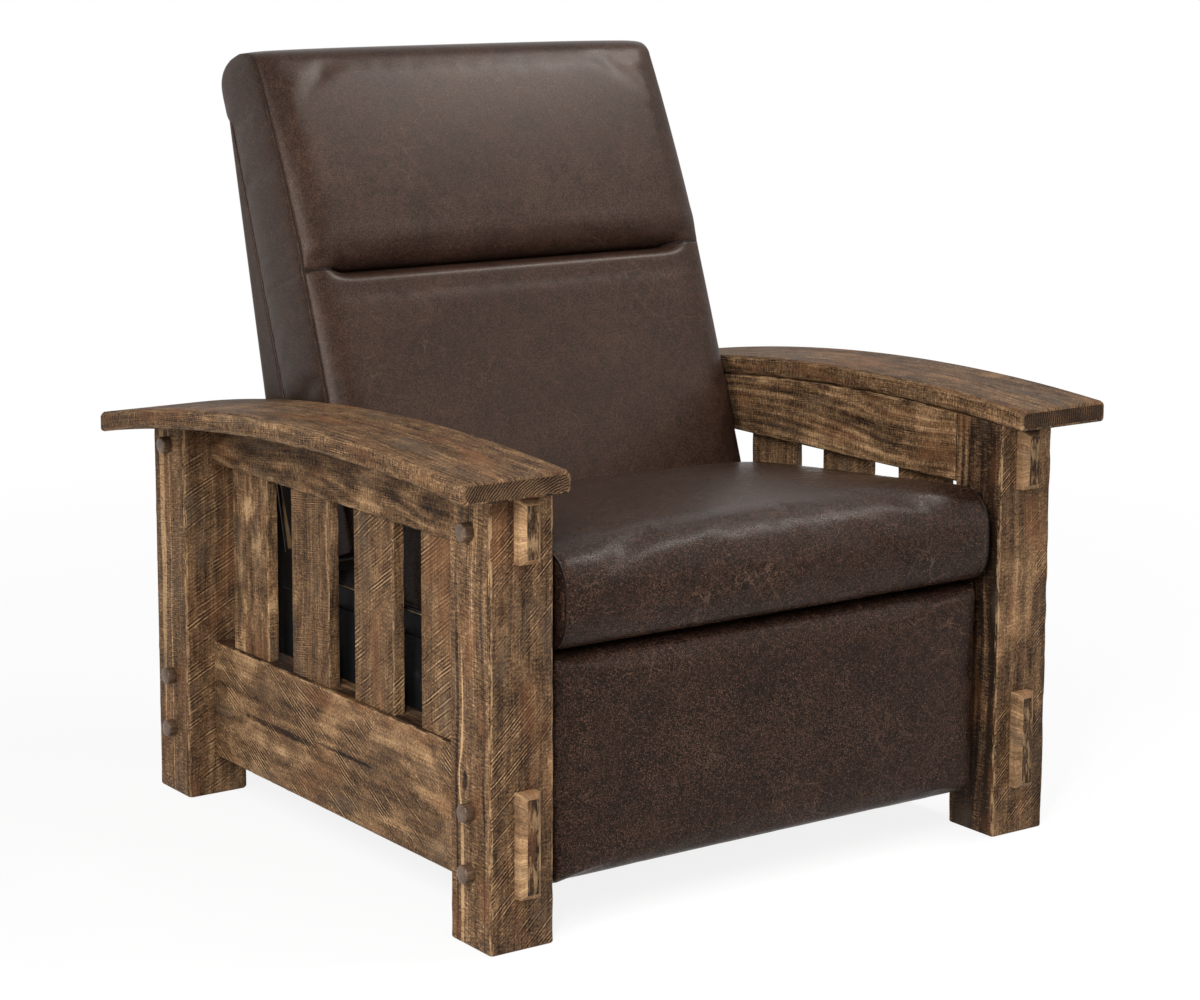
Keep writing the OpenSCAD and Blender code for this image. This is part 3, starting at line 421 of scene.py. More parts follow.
def facing(points, quads):
    # 1 where the quads face out, by the signed volume under them, and -1 where they face in
    a, b, c, d = (points[quads[:, k]] for k in range(4))
    return 1 if np.sum(a * np.cross(b, c)) + np.sum(a * np.cross(c, d)) > 0 else -1


def tube(points, rows, columns):
    # the quads and the two caps of a closed skin, facing out, and whether they were turned for it
    quads = gridQuads(numbers(rows, columns, True))
    way = facing(points, quads)
    first = np.arange(columns)
    return quads[:, ::way], [first[::-way], (first + (rows - 1) * columns)[::way]], way


# Board: a rounded rectangle carried along the grain; place(a, b, l) puts it in the chair

boardLook = {
    "cornerSteps": 4,       # faces round each long corner
    "station": 13 * mm,     # spacing of the rings along the board
    "near": (0.0, 0.9 * mm, 2.6 * mm),   # rings of the worn edge, measured from the corner
    "facet": 14 * mm,       # spacing over a flat face
    "chip": 0.55,           # share of the corner radius that wear may take off
    "radius": 3 * mm,
    "ends": ((0.0, 2 * mm), (0.6 * mm, 0.6 * mm), (2 * mm, 0.0)),   # distance from the end, and how far it is drawn in
    "snug": ((0, 0.2 * mm), (0.5 * mm, 0)),
}


def sideStops(straight):
    # places along one straight side, as shares from -1 to 1: dense at both corners
    near = [n for n in boardLook["near"] if n < straight * 0.35]
    middle = np.linspace(near[-1], straight - near[-1], max(2, int(straight / boardLook["facet"])))
    stops = joined(near[:-1], middle, straight - np.array(near[:-1][::-1]))
    return stops / straight * 2 - 1


def profile(width, depth, radius):
    # sides in turn: +a, +b, -a, -b. Gives the corner-centre shares, the way out, edge weight, side and distance
    rows = []
    run = 0.0
    steps, quarter = boardLook["cornerSteps"], math.pi / 2
    for side, size in enumerate((depth, width, depth, width)):
        turn = side * quarter
        out = (round(math.cos(turn)), round(math.sin(turn)))
        way = (-out[1], out[0])
        straight = size - 2 * radius
        for stop in sideStops(straight):
            inside = (1 - abs(stop)) * straight / 2
            worn = max(0.0, 1 - inside / boardLook["near"][-1]) ** 1.5
            rows.append((out[0] + way[0] * stop, out[1] + way[1] * stop, *out, worn, side,
                         run + (stop + 1) / 2 * straight, 0))
        run += straight
        for k in range(1, steps):
            angle = turn + quarter * k / steps
            rows.append((out[0] + way[0], out[1] + way[1], math.cos(angle), math.sin(angle), 1.0,
                         side if k < steps / 2 else (side + 1) % 4, run + radius * quarter * k / steps, side + 1))
        run += radius * quarter
    return np.array(rows), run


def smoothNoise(rng, count, reach):
    # seeded noise of 0 to 1 along a line, softened over a few stations
    raw = rng.random(count + 2 * reach)
    soft = np.convolve(raw, np.ones(reach) / reach, "same")[reach:reach + count]
    return np.clip((soft - 0.5) * reach ** 0.5 * 1.4 + 0.5, 0, 1)


class Stack:
    # gathers boards and turned shapes into one mesh
    def __init__(self):
        self.points, self.faces, self.uvs, self.edges, self.slots, self.smooth = [], [], [], [], [], []
        self.count = 0

    def add(self, points, quads, caps, uvs, edges, slots, lastSmooth=False):
        self.points.append(points)
        self.faces += (quads + self.count).tolist() + [(cap + self.count).tolist() for cap in caps]
        self.uvs.append(uvs)
        self.edges.append(edges)
        self.slots += slots
        self.smooth += [True] * len(quads) + [False, lastSmooth]
        self.count += len(points)
        return self

    # sides: the finish of each side of the profile; end: that of both caps
    def board(self, size, length, place, seed, sides, end, ends=boardLook["ends"], tail=None,
              radius=boardLook["radius"], shift=(0.0, 0.0), flip=False, chip=boardLook["chip"]):
        rows, around = profile(*size, radius)
        centreA, centreB, wayA, wayB, worn, side, run, corner = rows.T
        rng = np.random.default_rng(seed)
        tail = tail or ends
        inner = max(2, int(length / boardLook["station"]))
        far = np.linspace(ends[-1][0], length - tail[-1][0], inner)
        at = joined([e[0] for e in ends[:-1]], far, [length - e[0] for e in tail[:-1][::-1]])
        inset = joined([e[1] for e in ends[:-1]], np.full(inner, ends[-1][1]), [e[1] for e in tail[:-1][::-1]])
        inset[-len(tail)] = tail[-1][1]
        chips = [smoothNoise(rng, len(at), 2) * (0.35 + 0.65 * smoothNoise(rng, len(at), 7)) for _ in range(4)]
        chips = np.stack([np.zeros(len(at)), *chips])[corner.astype(int)].T
        cut = radius * (1 - chips * chip)
        a = centreA * (size[0] / 2 - radius - inset[:, None]) + wayA * cut
        b = centreB * (size[1] / 2 - radius - inset[:, None]) + wayB * cut
        points = surface(*place(a, b, np.broadcast_to(at[:, None], a.shape))).reshape(-1, 3)
        quads, caps, way = tube(points, len(at), len(run))
        i, j = (n.ravel() for n in np.indices((len(at) - 1, len(run))))
        v = at + shift[1]
        u = (-1 if flip else 1) * np.append(run, around) + shift[0]
        corners = ((0, 0), (0, 1), (1, 1), (1, 0))[::way]
        uvs = np.stack([np.stack([u[j + dj], v[i + di]], -1) for di, dj in corners], axis=1)
        capUvs = np.stack([a.ravel(), b.ravel()], -1) + shift
        edge = worn + np.clip(1 - np.minimum(at, length - at) / boardLook["near"][-1], 0, 1)[:, None]
        slots = np.array(sides)[side.astype(int)][j].tolist() + [end, end]
        return self.add(points, quads, caps, joined(uvs.reshape(-1, 2), capUvs[caps[0]], capUvs[caps[1]]),
                        np.clip(edge, 0, 1).ravel(), slots)

    def finish(self, name, names, nodes, slot="stained_oak"):
        piece = newPiece(name, np.concatenate(self.points), self.faces)
        mesh = piece.data
        mesh.uv_layers.new(name="grain").data.foreach_set("uv", np.concatenate(self.uvs).astype(np.float32).ravel())
        edges = np.concatenate(self.edges).astype(np.float32)
        mesh.attributes.new("edge", "FLOAT", "POINT").data.foreach_set("value", edges)
        dress(piece, "side_frames", names, nodes)
        mesh.polygons.foreach_set("material_index", self.slots)
        mesh.polygons.foreach_set("use_smooth", self.smooth)


# Side frames, both sides; sizes in metres as the CAD has them

chair = {
    "frontY": -0.437, "rearY": 0.429, "innerX": 0.3585, "outerX": 0.45, "postDepth": 0.0895, "postRadius": 3.5 * mm,
    "armReach": 0.5105, "armEnd": 0.474, "armThick": 0.028, "armCurve": 3.45, "armY": -0.182, "armZ": -2.847,
    "armRadius": 5 * mm, "armChip": 0.5, "railX": 0.38275, "railThick": 0.0485, "lowMiddle": 0.1385, "lowTall": 0.167,
    "highLow": 0.477, "highTall": 0.095, "highGap": 0.3 * mm, "slatX": 0.3915, "slatSize": (0.017, 0.098),
    "slatLow": 0.210, "slatTall": 0.279, "slatY": -0.004, "slatPitch": 0.1645, "slatRadius": 1.8 * mm,
    "slatKinds": (2, 2, 1, 0), "rearRailY": 0.38425, "rearRailZ": 0.115, "rearRailSize": (0.026, 0.110),
    "rearRailLong": 0.729, "rearRailRadius": 2.5 * mm,
}
postEnds = {"ends": ((0, 3 * mm), (1 * mm, 1 * mm), (3 * mm, 0)), "tail": ((0, 0.2 * mm), (2 * mm, 0))}
armEnds = ((0, 4 * mm), (0.5 * mm, 1.8 * mm), (1.8 * mm, 0.5 * mm), (4 * mm, 0))


def armUnder(y):
    # height of the arm's underside: a circle in the plane of depth and height
    return chair["armZ"] + np.sqrt((chair["armCurve"] - chair["armThick"]) ** 2 - (y - chair["armY"]) ** 2)


postMiddle = (chair["innerX"] + chair["outerX"]) / 2
postWide = chair["outerX"] - chair["innerX"]
armWide = chair["armReach"] - chair["innerX"]
armMiddle = (chair["armReach"] + chair["innerX"]) / 2
railLong = chair["rearY"] - chair["frontY"] - 2 * chair["postDepth"]
railStart = chair["frontY"] + chair["postDepth"]

for sideName, side in {"left": -1, "right": 1}.items():
    right, flip = side > 0, side < 0
    for k, (where, startY) in enumerate((("front", chair["frontY"]), ("rear", chair["rearY"] - chair["postDepth"]))):
        middleY = startY + chair["postDepth"] / 2
        tall = float(armUnder(middleY))

        def standing(a, b, l):
            y = middleY + b
            return side * (postMiddle + a), y, l / tall * armUnder(y)

        # sides of the profile: outer face, rear face, inner face, front face
        face = 1 if where == "front" else 2
        Stack().board((postWide, chair["postDepth"]), tall, standing, 11 + k + right * 2, (0, face, 3, face), 4,
                      radius=chair["postRadius"], flip=flip, shift=(0.31 * k + 0.9 * right, 0.7 * k + 1.9 * right),
                      **postEnds).finish(
            f"{sideName}{where.title()}Post", ("postSideWood", "postFaceWood", "rearFaceWood", "innerWoodPaintedShade", "endWood"),
            [f"{sideName}_{where}_post"])

    def bowed(a, b, l):
        y = l - chair["armEnd"]
        return side * (armMiddle + a), y, armUnder(y) + chair["armThick"] / 2 + b

    Stack().board((armWide, chair["armThick"]), 2 * chair["armEnd"], bowed, 21 + side, (1, 0, 1, 2), 3, armEnds,
                  radius=chair["armRadius"], flip=flip, shift=(1.3 * right, 0.0), chip=chair["armChip"]).finish(
        f"{sideName}Arm", ("armTopWood", "armSideWood", "innerWoodPaintedShade", "armEndDark" if right else "armEndWood"),
        [f"{sideName}_arm"])

    def lowRail(a, b, l):
        return side * (chair["railX"] + a), railStart + l, chair["lowMiddle"] + b

    def highRail(a, b, l):
        # its top edge follows the arm
        y = railStart + l
        share = np.clip(b / chair["highTall"] + 0.5, 0, 1)
        room = armUnder(y) - chair["highGap"] - chair["highLow"] - chair["highTall"]
        return side * (chair["railX"] + a), y, chair["highLow"] + chair["highTall"] / 2 + b + share * room

    for kind, tall, place, seed, faces, shift in (("bottom", chair["lowTall"], lowRail, 31, (0, 1, 1, 1), 1.1),
                                                  ("top", chair["highTall"], highRail, 41, (0, 1, 0, 1), 0.8)):
        Stack().board((chair["railThick"], tall), railLong, place, seed + side, faces, 2, boardLook["snug"],
                      flip=flip, shift=(0.0, shift * right)).finish(
            f"{sideName}{kind.title()}Rail", (f"{kind}RailWood", "innerWoodPaintedShade", "endWood"), [f"{sideName}_{kind}_rail"])

    slats = Stack()
    for n, kind in enumerate(chair["slatKinds"]):
        slatY = chair["slatY"] + (n - 1.5) * chair["slatPitch"]

        def upright(a, b, l):
            return side * (chair["slatX"] + a), slatY + b, chair["slatLow"] + l

        slats.board(chair["slatSize"], chair["slatTall"], upright, 51 + n + 4 * right, (kind,) * 4, 3,
                    boardLook["snug"], radius=chair["slatRadius"], flip=flip, shift=(0.37 * n, 0.53 * n + 2.3 * right))
    slats.finish(f"{sideName}Slats", ("slatMottled", "slatTicked", "slatSawn", "endWood"), [f"{sideName}_slats"])
print("recliner: side frames made")


# Tenon ends: blocks with a chamfered rim, on the front and rear faces of the posts

tenon = {"x": 0.40125, "wide": 0.030, "proud": 0.019, "low": (0.0675, 0.1995), "high": 0.478, "drop": 0.007,
         "radius": 1.2 * mm, "root": ((0, 0.2 * mm), (1 * mm, 0)),
         "crown": ((0, 6.7 * mm), (0.35 * mm, 6.15 * mm), (6.3 * mm, 0.25 * mm), (7.1 * mm, 0.0))}
tenons = Stack()
for side in (-1, 1):
    for faceY, out in ((chair["frontY"], -1), (chair["rearY"], 1)):
        top = float(armUnder(faceY + out * tenon["proud"])) - tenon["drop"]
        for n, (low, high) in enumerate((tenon["low"], (tenon["high"], top))):

            def proud(a, b, l):
                return side * (tenon["x"] + a), faceY + out * l, (low + high) / 2 + b

            tenons.board((tenon["wide"], high - low), tenon["proud"], proud, 61 + n + side + out, (1, 1, 1, 1), 0,
                         tenon["root"], tenon["crown"], tenon["radius"], (0.21 * n + side, 0.43 * n + out), chip=0.0)
tenons.finish("tenonEnds", ("tenonFace", "tenonSidePaintedLight"), ["tenon_ends"], "tenon_wood")


# Pegs: short turned cylinders with a rubbed rim, driven into the posts

peg = {
    "radius": 0.0116, "from": 0.44, "to": 0.463, "rim": 0.0022, "ring": 6 * mm, "turn": 40,
    # rings of the domed end: how far out, and their shares of the radius
    "domeOut": (0.4, 0.7), "domeIn": (0.6, 0.25),
    # depth of each post's pegs, and their heights
    "places": ((-0.39225, (0.094, 0.17, 0.514)), (0.38425, (0.094, 0.17, 0.501))),
    "tones": ((0.0, tint(36, 27, 20)), (0.45, tint(80, 61, 46)), (1.0, tint(140, 116, 92))),
}


def pegFinish():
    f = Finish("pegWood")
    x, y, z = f.split(f.place())
    streaks = f.noise(f.join(x * 0.1, y, z), 500.0, 3.0, 0.6)
    soil = f.noise(f.place(), 60.0, 3.0)
    tone = 0.4 + (streaks - 0.5) * 1.0 + (soil - 0.5) * 0.8 + f.mark("edge") * 0.08
    return f.close({"Base Color": f.ramp(tone, *peg["tones"]), "Roughness": 0.3, "Specular IOR Level": 0.3,
                    "Normal": f.bump(streaks, 0.4 * mm)})


finishes["pegWood"] = pegFinish()
pegs = Stack()
turn = np.linspace(0, 2 * math.pi, peg["turn"], endpoint=False)
rimAngle = np.radians([0, 30, 60, 90])
shoulder = peg["to"] - peg["rim"]
# rings from the root to the domed end: distance from the chair's middle, and radius
reach = joined([peg["from"], shoulder - peg["ring"]], shoulder + peg["rim"] * np.sin(rimAngle),
               peg["to"] + np.array(peg["domeOut"]) * mm)
radii = joined([peg["radius"]] * 2, peg["radius"] - peg["rim"] + peg["rim"] * np.cos(rimAngle),
               np.array(peg["domeIn"]) * peg["radius"])
for side in (-1, 1):
    for pegY, pegZ in ((y, z) for y, heights in peg["places"] for z in heights):
        y, z = pegY + radii[:, None] * np.cos(turn), pegZ + radii[:, None] * np.sin(turn)
        points = surface(side * reach[:, None], y, z).reshape(-1, 3)
        quads, caps, _ = tube(points, len(reach), len(turn))
        corners = points[joined(quads.ravel(), *caps)][:, 1:]
        edges = np.repeat((reach > peg["to"] - 0.5 * mm) * 1.0, len(turn))
        pegs.add(points, quads, caps, corners, edges, [0] * (len(quads) + 2), True)
pegs.finish("pegs", ("pegWood",), ["pegs"], "peg_wood")


def crosswise(a, b, l):
    return l - chair["rearRailLong"] / 2, chair["rearRailY"] + a, chair["rearRailZ"] + b


Stack().board(chair["rearRailSize"], chair["rearRailLong"], crosswise, 71, (0, 0, 0, 0), 1,
              radius=chair["rearRailRadius"], shift=(0.6, 3.1)).finish(
    "rearRail", ("bottomRailWood", "endWood"), ["rear_rail"])
print("recliner: tenons, pegs and rear rail made")


# Cushions: two grids, front and rear, that meet along the middle of the bottom and the top, and two end panels

sewing = {
    "frames": 20,
    "endCap": 2.5 * mm,     # how far an end panel may swell
    "mark": 1.5 * mm,       # half width of a seam's dark line
    # places of the rings across an end panel: close together at its two seams
    "endShares": np.array([0.022, 0.07, 0.16, 0.32, 0.5, 0.68, 0.84, 0.93, 0.978]),
    "cloth": {"quality": 6, "mass": 0.4, "tension_stiffness": 30, "compression_stiffness": 20, "shear_stiffness": 12,
              "bending_stiffness": 3.0, "use_pressure": True, "vertex_group_mass": "sewn"},
}


def cushionMesh(name, front, rear, bulge):
    # front and rear are rows x stations x 3, equal on the first and last row; an end panel is ruled between them
    rows, stations = front.shape[:2]
    share = sewing["endShares"]
    frontAt = numbers(rows, stations)
    rearAt = frontAt.copy()
    rearAt[1:-1] = rows * stations + numbers(rows - 2, stations)
    points = [front.reshape(-1, 3), rear[1:-1].reshape(-1, 3)]
    count = rows * stations + (rows - 2) * stations
    quads = [gridQuads(frontAt), gridQuads(rearAt)[:, ::-1]]
    triangles = []
    for column, way in ((0, -1), (-1, 1)):
        a, b = front[1:-1, column], rear[1:-1, column]
        width = np.linalg.norm(b - a, axis=1)
        inner = a[:, None] + (b - a)[:, None] * share[None, :, None]
        inner[..., 0] += way * bulge * (width / width.max())[:, None] * np.sin(share * math.pi) ** 0.8
        points.append(inner.reshape(-1, 3))
        at = count + numbers(rows - 2, len(share))
        count += at.size
        sheet = joined(frontAt[1:-1, column][:, None], at, rearAt[1:-1, column][:, None], axis=1)
        quads.append(gridQuads(sheet)[:, ::way])
        for tip, row, turned in ((frontAt[0, column], sheet[0], way), (frontAt[-1, column], sheet[-1], -way)):
            triangles.append(np.stack([np.full(len(row) - 1, tip), row[:-1], row[1:]], -1)[:, ::turned])
    points, quads = np.concatenate(points), np.concatenate(quads)
    out = facing(points, quads)
    faces = quads[:, ::out].tolist() + np.concatenate(triangles)[:, ::out].tolist()
    return newPiece(name, points, faces), frontAt, rearAt


def inflate(piece, held, look, panels):
    # cloth under inner pressure, sewn down where held; a point of the two panels moves no further than cap
    before = coordinates(piece.data)
    limit = np.full((len(before), 1), sewing["endCap"])
    limit[panels.ravel()] = look["cap"]
    sewn = np.unique(np.concatenate([grid.ravel() for grid in held]))
    piece.vertex_groups.new(name="sewn").add(sewn.tolist(), 1.0, "REPLACE")
    cloth = piece.modifiers.new("stuffing", "CLOTH")
    cloth.settings.uniform_pressure_force, cloth.settings.shrink_min = look["pressure"], -look["slack"]
    for key, value in sewing["cloth"].items():
        setattr(cloth.settings, key, value)
    cloth.settings.effector_weights.gravity = 0
    cloth.collision_settings.use_collision = False
    cloth.point_cache.frame_start, cloth.point_cache.frame_end = 1, sewing["frames"]
    for step in range(1, sewing["frames"] + 1):
        scene.frame_set(step)
    after = coordinates(piece.evaluated_get(bpy.context.evaluated_depsgraph_get()).data)
    scene.frame_set(1)
    piece.modifiers.remove(cloth)
    piece.vertex_groups.clear()
    move = after - before
    far = np.linalg.norm(move, axis=1, keepdims=True)
    # the cap comes on softly, as tanh(far / cap) * cap
    move *= np.tanh(far / limit) * limit / np.maximum(far, 1e-9)
    piece.data.vertices.foreach_set("co", (before + move).astype(np.float32).ravel())
    print(f"recliner: {piece.name} stuffed, up to {far.max() / mm:.0f} mm before the cap, mean {far.mean() / mm:.1f}")


def subdivide(piece):
    # one smooth subdivision, applied
    smooth = piece.modifiers.new("smooth", "SUBSURF")
    smooth.levels = smooth.render_levels = 1
    applyModifiers(piece)


def nearestLine(points, line):
    # distance of each point to a line of many short pieces, worked out in blocks
    fine = np.concatenate([np.linspace(a, b, 5)[:-1] for a, b in zip(line[:-1], line[1:])] + [line[-1:]])
    best = np.full(len(points), 9.0)
    for start in range(0, len(points), 4000):
        block = points[start:start + 4000]
        best[start:start + 4000] = np.sqrt(((block[:, None] - fine[None]) ** 2).sum(-1)).min(1)
    return best


def sew(piece, lines, depth, width, welt=0.0):
    # a seam draws the cover in as depth * exp(-(distance / width) ** 2); a welt stands up in its middle
    mesh = piece.data
    points, normals = coordinates(mesh), coordinates(mesh, "normal")
    mark = np.zeros(len(points))
    for line in lines:
        far = nearestLine(points, line)
        thread = np.exp(-(far / sewing["mark"]) ** 2)
        points += normals * (welt * thread - depth * np.exp(-(far / width) ** 2))[:, None]
        mark = np.maximum(mark, thread)
    mesh.vertices.foreach_set("co", points.astype(np.float32).ravel())
    mesh.attributes.new("seam", "FLOAT", "POINT").data.foreach_set("value", mark.astype(np.float32))
    mesh.update()


def upholster(piece, look, held, panels, seams=()):
    # a seam is a row of point numbers, which the subdivision keeps
    inflate(piece, held, look, panels)
    subdivide(piece)
    shape = coordinates(piece.data)
    sew(piece, [shape[seam] for seam in seams], *look["seam"])
    dress(piece, look["body"], (look["finish"],), [look["node"]])


def stations(half, near, count):
    # places across a cushion: close together at both seams, even between them
    edge = np.cumsum(near) * mm
    middle = np.linspace(-half + edge[-1], half - edge[-1], count)
    return joined(-half + edge[:-1], middle, half - edge[:-1][::-1])


def softStep(value, low, high):
    t = np.clip((value - low) / (high - low), 0, 1)
    return t * t * (3 - 2 * t)


# Back cushion: a runs up its sloping plane, n stands out of it, x across

backLook = {
    "foot": (0.172, 0.345), "up": (0.3502, 0.9367), "out": (-0.9367, 0.3502),
    "half": 0.335, "near": (0, 2.5, 3, 4, 5, 6, 7, 8), "stations": 54, "first": 8 * mm, "channel": 0.393, "top": 0.684,
    "ridge": 0.040, "low": 0.108, "waist": 0.116, "roll": 0.118, "head": 0.098, "edge": (0.060, 40), "crown": 0.002,
    "crease": 0.036, "lipUp": 0.042, "lipDrop": 7 * mm, "foldFade": (0.034, 0.074), "turnIn": 0.020,
    "rollBack": -0.012, "rollLow": 0.642, "rollTurn": 0.012, "squareness": 0.85,
    "rows": (0.022, 0.33, 26), "foldRows": (52, 42, 33, 25, 18, 12, 7, 3.5, 1.2),
    "lipTurns": (8, 18, 30, 42, 55, 68, 80, 90),
    "headRows": 24, "topTurns": (12, 25, 38, 51, 64, 77, 90), "floorRows": 5, "floorFrom": 0.45,
    "bowShares": (0.55, 0.45),      # share of the bow that stays at the folds, and what comes on between them
    "bulge": 1.5 * mm, "heldColumns": 6, "heldRows": 8, "pressure": 4.0, "slack": 0.008, "cap": 0.0022, "fill": 0.75,
    "seam": (1.8 * mm, 2.6 * mm), "seamStop": 3, "body": "back", "node": "back_cushion", "finish": "backLeather",
}


def backCushion(look):
    half, channel, top, first, low, roll = (look[k] for k in ("half", "channel", "top", "first", "low", "roll"))
    x = stations(half, look["near"], look["stations"])
    # the panel turns to its side seams on an arc, and swells a little between them
    radius, angle = look["edge"][0], math.radians(look["edge"][1])
    inward = np.minimum(half - np.abs(x), radius * math.sin(angle))
    bow = np.sqrt(radius ** 2 - (radius * math.sin(angle) - inward) ** 2) - radius * math.cos(angle)
    bow = bow + look["crown"] * np.clip(1 - (x / half) ** 2, 0, 1)
    stays, comes = look["bowShares"]
    fold = softStep(half - np.abs(x), *look["foldFade"])
    # the lower panel runs straight up and turns in sharply at the channel
    lows = joined(np.linspace(*look["rows"]), channel - np.array(look["foldRows"]) * mm)[:, None]
    t = lows / channel
    edge = low + (look["waist"] - low) * np.sin(np.minimum(t * 0.8, 1) * math.pi / 2)
    swell = stays + comes * np.sin(np.clip(0.10 + 0.86 * t, 0, 1) * math.pi) ** 0.5
    turnIn = softStep(lows, channel - look["turnIn"], channel) ** 2
    lowN = edge + bow * swell - look["crease"] * 0.8 * turnIn * fold
    # the crease, then the head roll: a quarter round that first hangs over, then climbs
    creaseN = look["waist"] + bow * stays - look["crease"] * fold
    angle = np.radians(look["lipTurns"])[:, None]
    rollN = creaseN + (roll + bow - creaseN) * (np.sin(angle) * fold + (1 - fold) * np.minimum(1, angle * 0.9))
    rollA = channel + look["lipUp"] * ((1 - np.cos(angle)) * fold + angle / angle[-1] * (1 - fold)) \
        - look["lipDrop"] * np.sin(2 * angle) * fold
    highs = np.linspace(channel + look["lipUp"], top, look["headRows"])[1:, None]
    s = (highs - channel) / (top - channel)
    highN = roll - (roll - look["head"]) * s ** 1.6 + bow * (np.cos(s * math.pi / 2) ** 0.5 * comes + stays)
    # over the top: half an ellipse from the front to the rear roll
    arc = np.radians(look["topTurns"])[:, None]
    ridge = look["ridge"] * (0.93 + 0.07 * np.clip(1 - (x / half) ** 4, 0, 1))
    middle = (highN[-1] + look["rollBack"]) / 2
    reach = (highN[-1] - look["rollBack"]) / 2 * np.cos(arc) ** look["squareness"]
    arcA = top + ridge * np.sin(arc) ** look["squareness"]
    # bottom, from its middle to the front corner
    floorRows, floorFrom = look["floorRows"], low * look["floorFrom"]
    floor = np.linspace(floorFrom, low - 9 * mm, floorRows)[:, None]
    cornerN = lowN[0] - np.array([[4.5], [1.2]]) * mm
    cornerA = first + np.array([[1.6], [6.5]]) * mm
    creaseRow, topRow = floorRows + len(cornerN) + len(lowN), -len(arc)

    def stacked(*parts):
        return np.concatenate([np.broadcast_to(part, (len(part), len(x))) for part in parts])

    n = stacked(floor, cornerN, lowN, creaseN[None], rollN, highN, middle + reach)
    a = stacked(np.full((floorRows, 1), first), cornerA, lows, np.array([[channel]]), rollA, highs, arcA)
    # rear side: the same rows, down the flat plane
    rearA = a.copy()
    rearA[:topRow] = np.minimum(np.maximum.accumulate(a[:topRow, :1], axis=0), top)
    rearN = look["rollBack"] * softStep(rearA, look["rollLow"] - look["rollTurn"], look["rollLow"] + look["rollTurn"])
    rearN[topRow:] = middle - reach
    rearN[:floorRows] = np.linspace(floorFrom, 0, floorRows)[:, None]
    rearA[:floorRows] = first
    rearA[floorRows:floorRows + 2] = first + np.array([[3], [9]]) * mm
    for row in (0, -1):
        rearN[row], rearA[row] = n[row], a[row]

    def out(n, a):
        y, z = (look["foot"][k] + a * look["up"][k] + n * look["out"][k] for k in (0, 1))
        return surface(x, y, z)

    piece, frontAt, rearAt = cushionMesh("backCushion", out(n, a), out(rearN, rearA), look["bulge"])
    columns = look["heldColumns"]
    held = (frontAt[:, :columns], frontAt[:, -columns:], rearAt[:, [0, -1]], rearAt[rearA[:, 0] < top - 0.02],
            frontAt[:floorRows], frontAt[creaseRow - look["heldRows"]:creaseRow + 1], frontAt[topRow:], rearAt[topRow:])
    sides = frontAt[:-look["seamStop"]]
    # the channel's row is sewn too, so its crease takes the seam mark's painted shade
    upholster(piece, look, held, frontAt, [sides[:, 0], sides[:, -1], frontAt[creaseRow]])


backCushion(backLook)
print("recliner: back cushion made")


# Seat cushion: a bull-nosed box, with a D-shaped panel at each end

seatLook = {
    "half": 0.341, "near": (0, 2.5, 3.5, 6, 8, 10), "stations": 56, "nose": -0.436, "noseOut": 0.004, "noseLong": 0.055,
    "power": 0.72, "low": 0.3455, "high": 0.4785, "lift": 0.008, "frame": -0.362, "fall": 0.038,
    "noseRows": 17, "noseFree": 8, "runRows": 40, "closeRows": 8,
    "rearLow": 0.04125, "rearHigh": 0.0655, "crown": 0.015, "bulge": 1.5 * mm, "pressure": 4.0, "slack": 0.006,
    "cap": 0.007, "fill": 0.85, "seam": (2.0 * mm, 4.5 * mm, 2.6 * mm), "body": "seat", "node": "seat_cushion",
    "finish": "leather",
}


def seatCushion(look):
    x = stations(look["half"], look["near"], look["stations"])
    across = np.clip(1 - (x / look["half"]) ** 2, 0, 1) ** 0.5
    noseLow = look["low"] + look["lift"]
    middle, tall = (noseLow + look["high"]) / 2, (look["high"] - noseLow) / 2
    centre = look["nose"] + look["noseLong"]
    angle = np.radians(np.linspace(0, 90, look["noseRows"]))
    turn, rise = np.cos(angle) ** look["power"], np.sin(angle) ** look["power"]
    runs = np.linspace(0, 1, look["runRows"])[1:]
    # the top falls to the rear; its crown grows over the nose and fades a little at the rear
    noseY = (centre - look["noseLong"] * turn)[:, None] - look["noseOut"] * across * turn[:, None]
    hump = joined(0.42 * rise ** 3, np.sin((0.08 + 0.84 * runs) * math.pi) ** 0.6)
    topZ = joined(middle + tall * rise, look["high"] - look["fall"] * runs)
    lowY = centre + (look["rearLow"] - centre) * runs
    lowZ = joined(middle - tall * rise, np.interp(lowY, (centre, look["frame"]), (noseLow, look["low"])))

    def side(runY, z):
        return surface(x, joined(noseY, np.broadcast_to(runY[:, None], (len(runs), len(x)))), z)

    front = side(centre + (look["rearHigh"] - centre) * runs, topZ[:, None] + look["crown"] * across * hump[:, None])
    rear = side(lowY, lowZ[:, None])
    # the rear end closes with a few rows down its slope
    share = np.linspace(0, 1, look["closeRows"] + 1)[1:, None, None]
    half = (rear[-1] + front[-1]) / 2
    front, rear = (joined(part, part[-1] + (half - part[-1]) * share) for part in (front, rear))
    piece, frontAt, rearAt = cushionMesh("seatCushion", front, rear, look["bulge"])
    held = (frontAt[:, [0, -1]], rearAt[:, [0, -1]], rearAt[look["noseFree"]:], frontAt[-1 - look["closeRows"]:])
    upholster(piece, look, held, frontAt, [joined(frontAt[::-1, k], rearAt[1:, k]) for k in (0, -1)])


seatCushion(seatLook)
print("recliner: seat cushion made")


# Footrest pad: a flat panel whose edges roll round to the board

padLook = {
    "half": 0.3447, "face": -0.4155, "back": -0.3835, "low": 0.0605, "high": 0.3495, "round": 0.016, "side": 0.010,
    "crown": 0.004, "columns": 60, "rows": 26, "turns": 8, "pressure": 1.0, "slack": 0.003, "cap": 0.004, "fill": 0.8,
    "seam": (0.0, 1.0), "body": "footrest", "node": "footrest_pad", "finish": "leather",
}


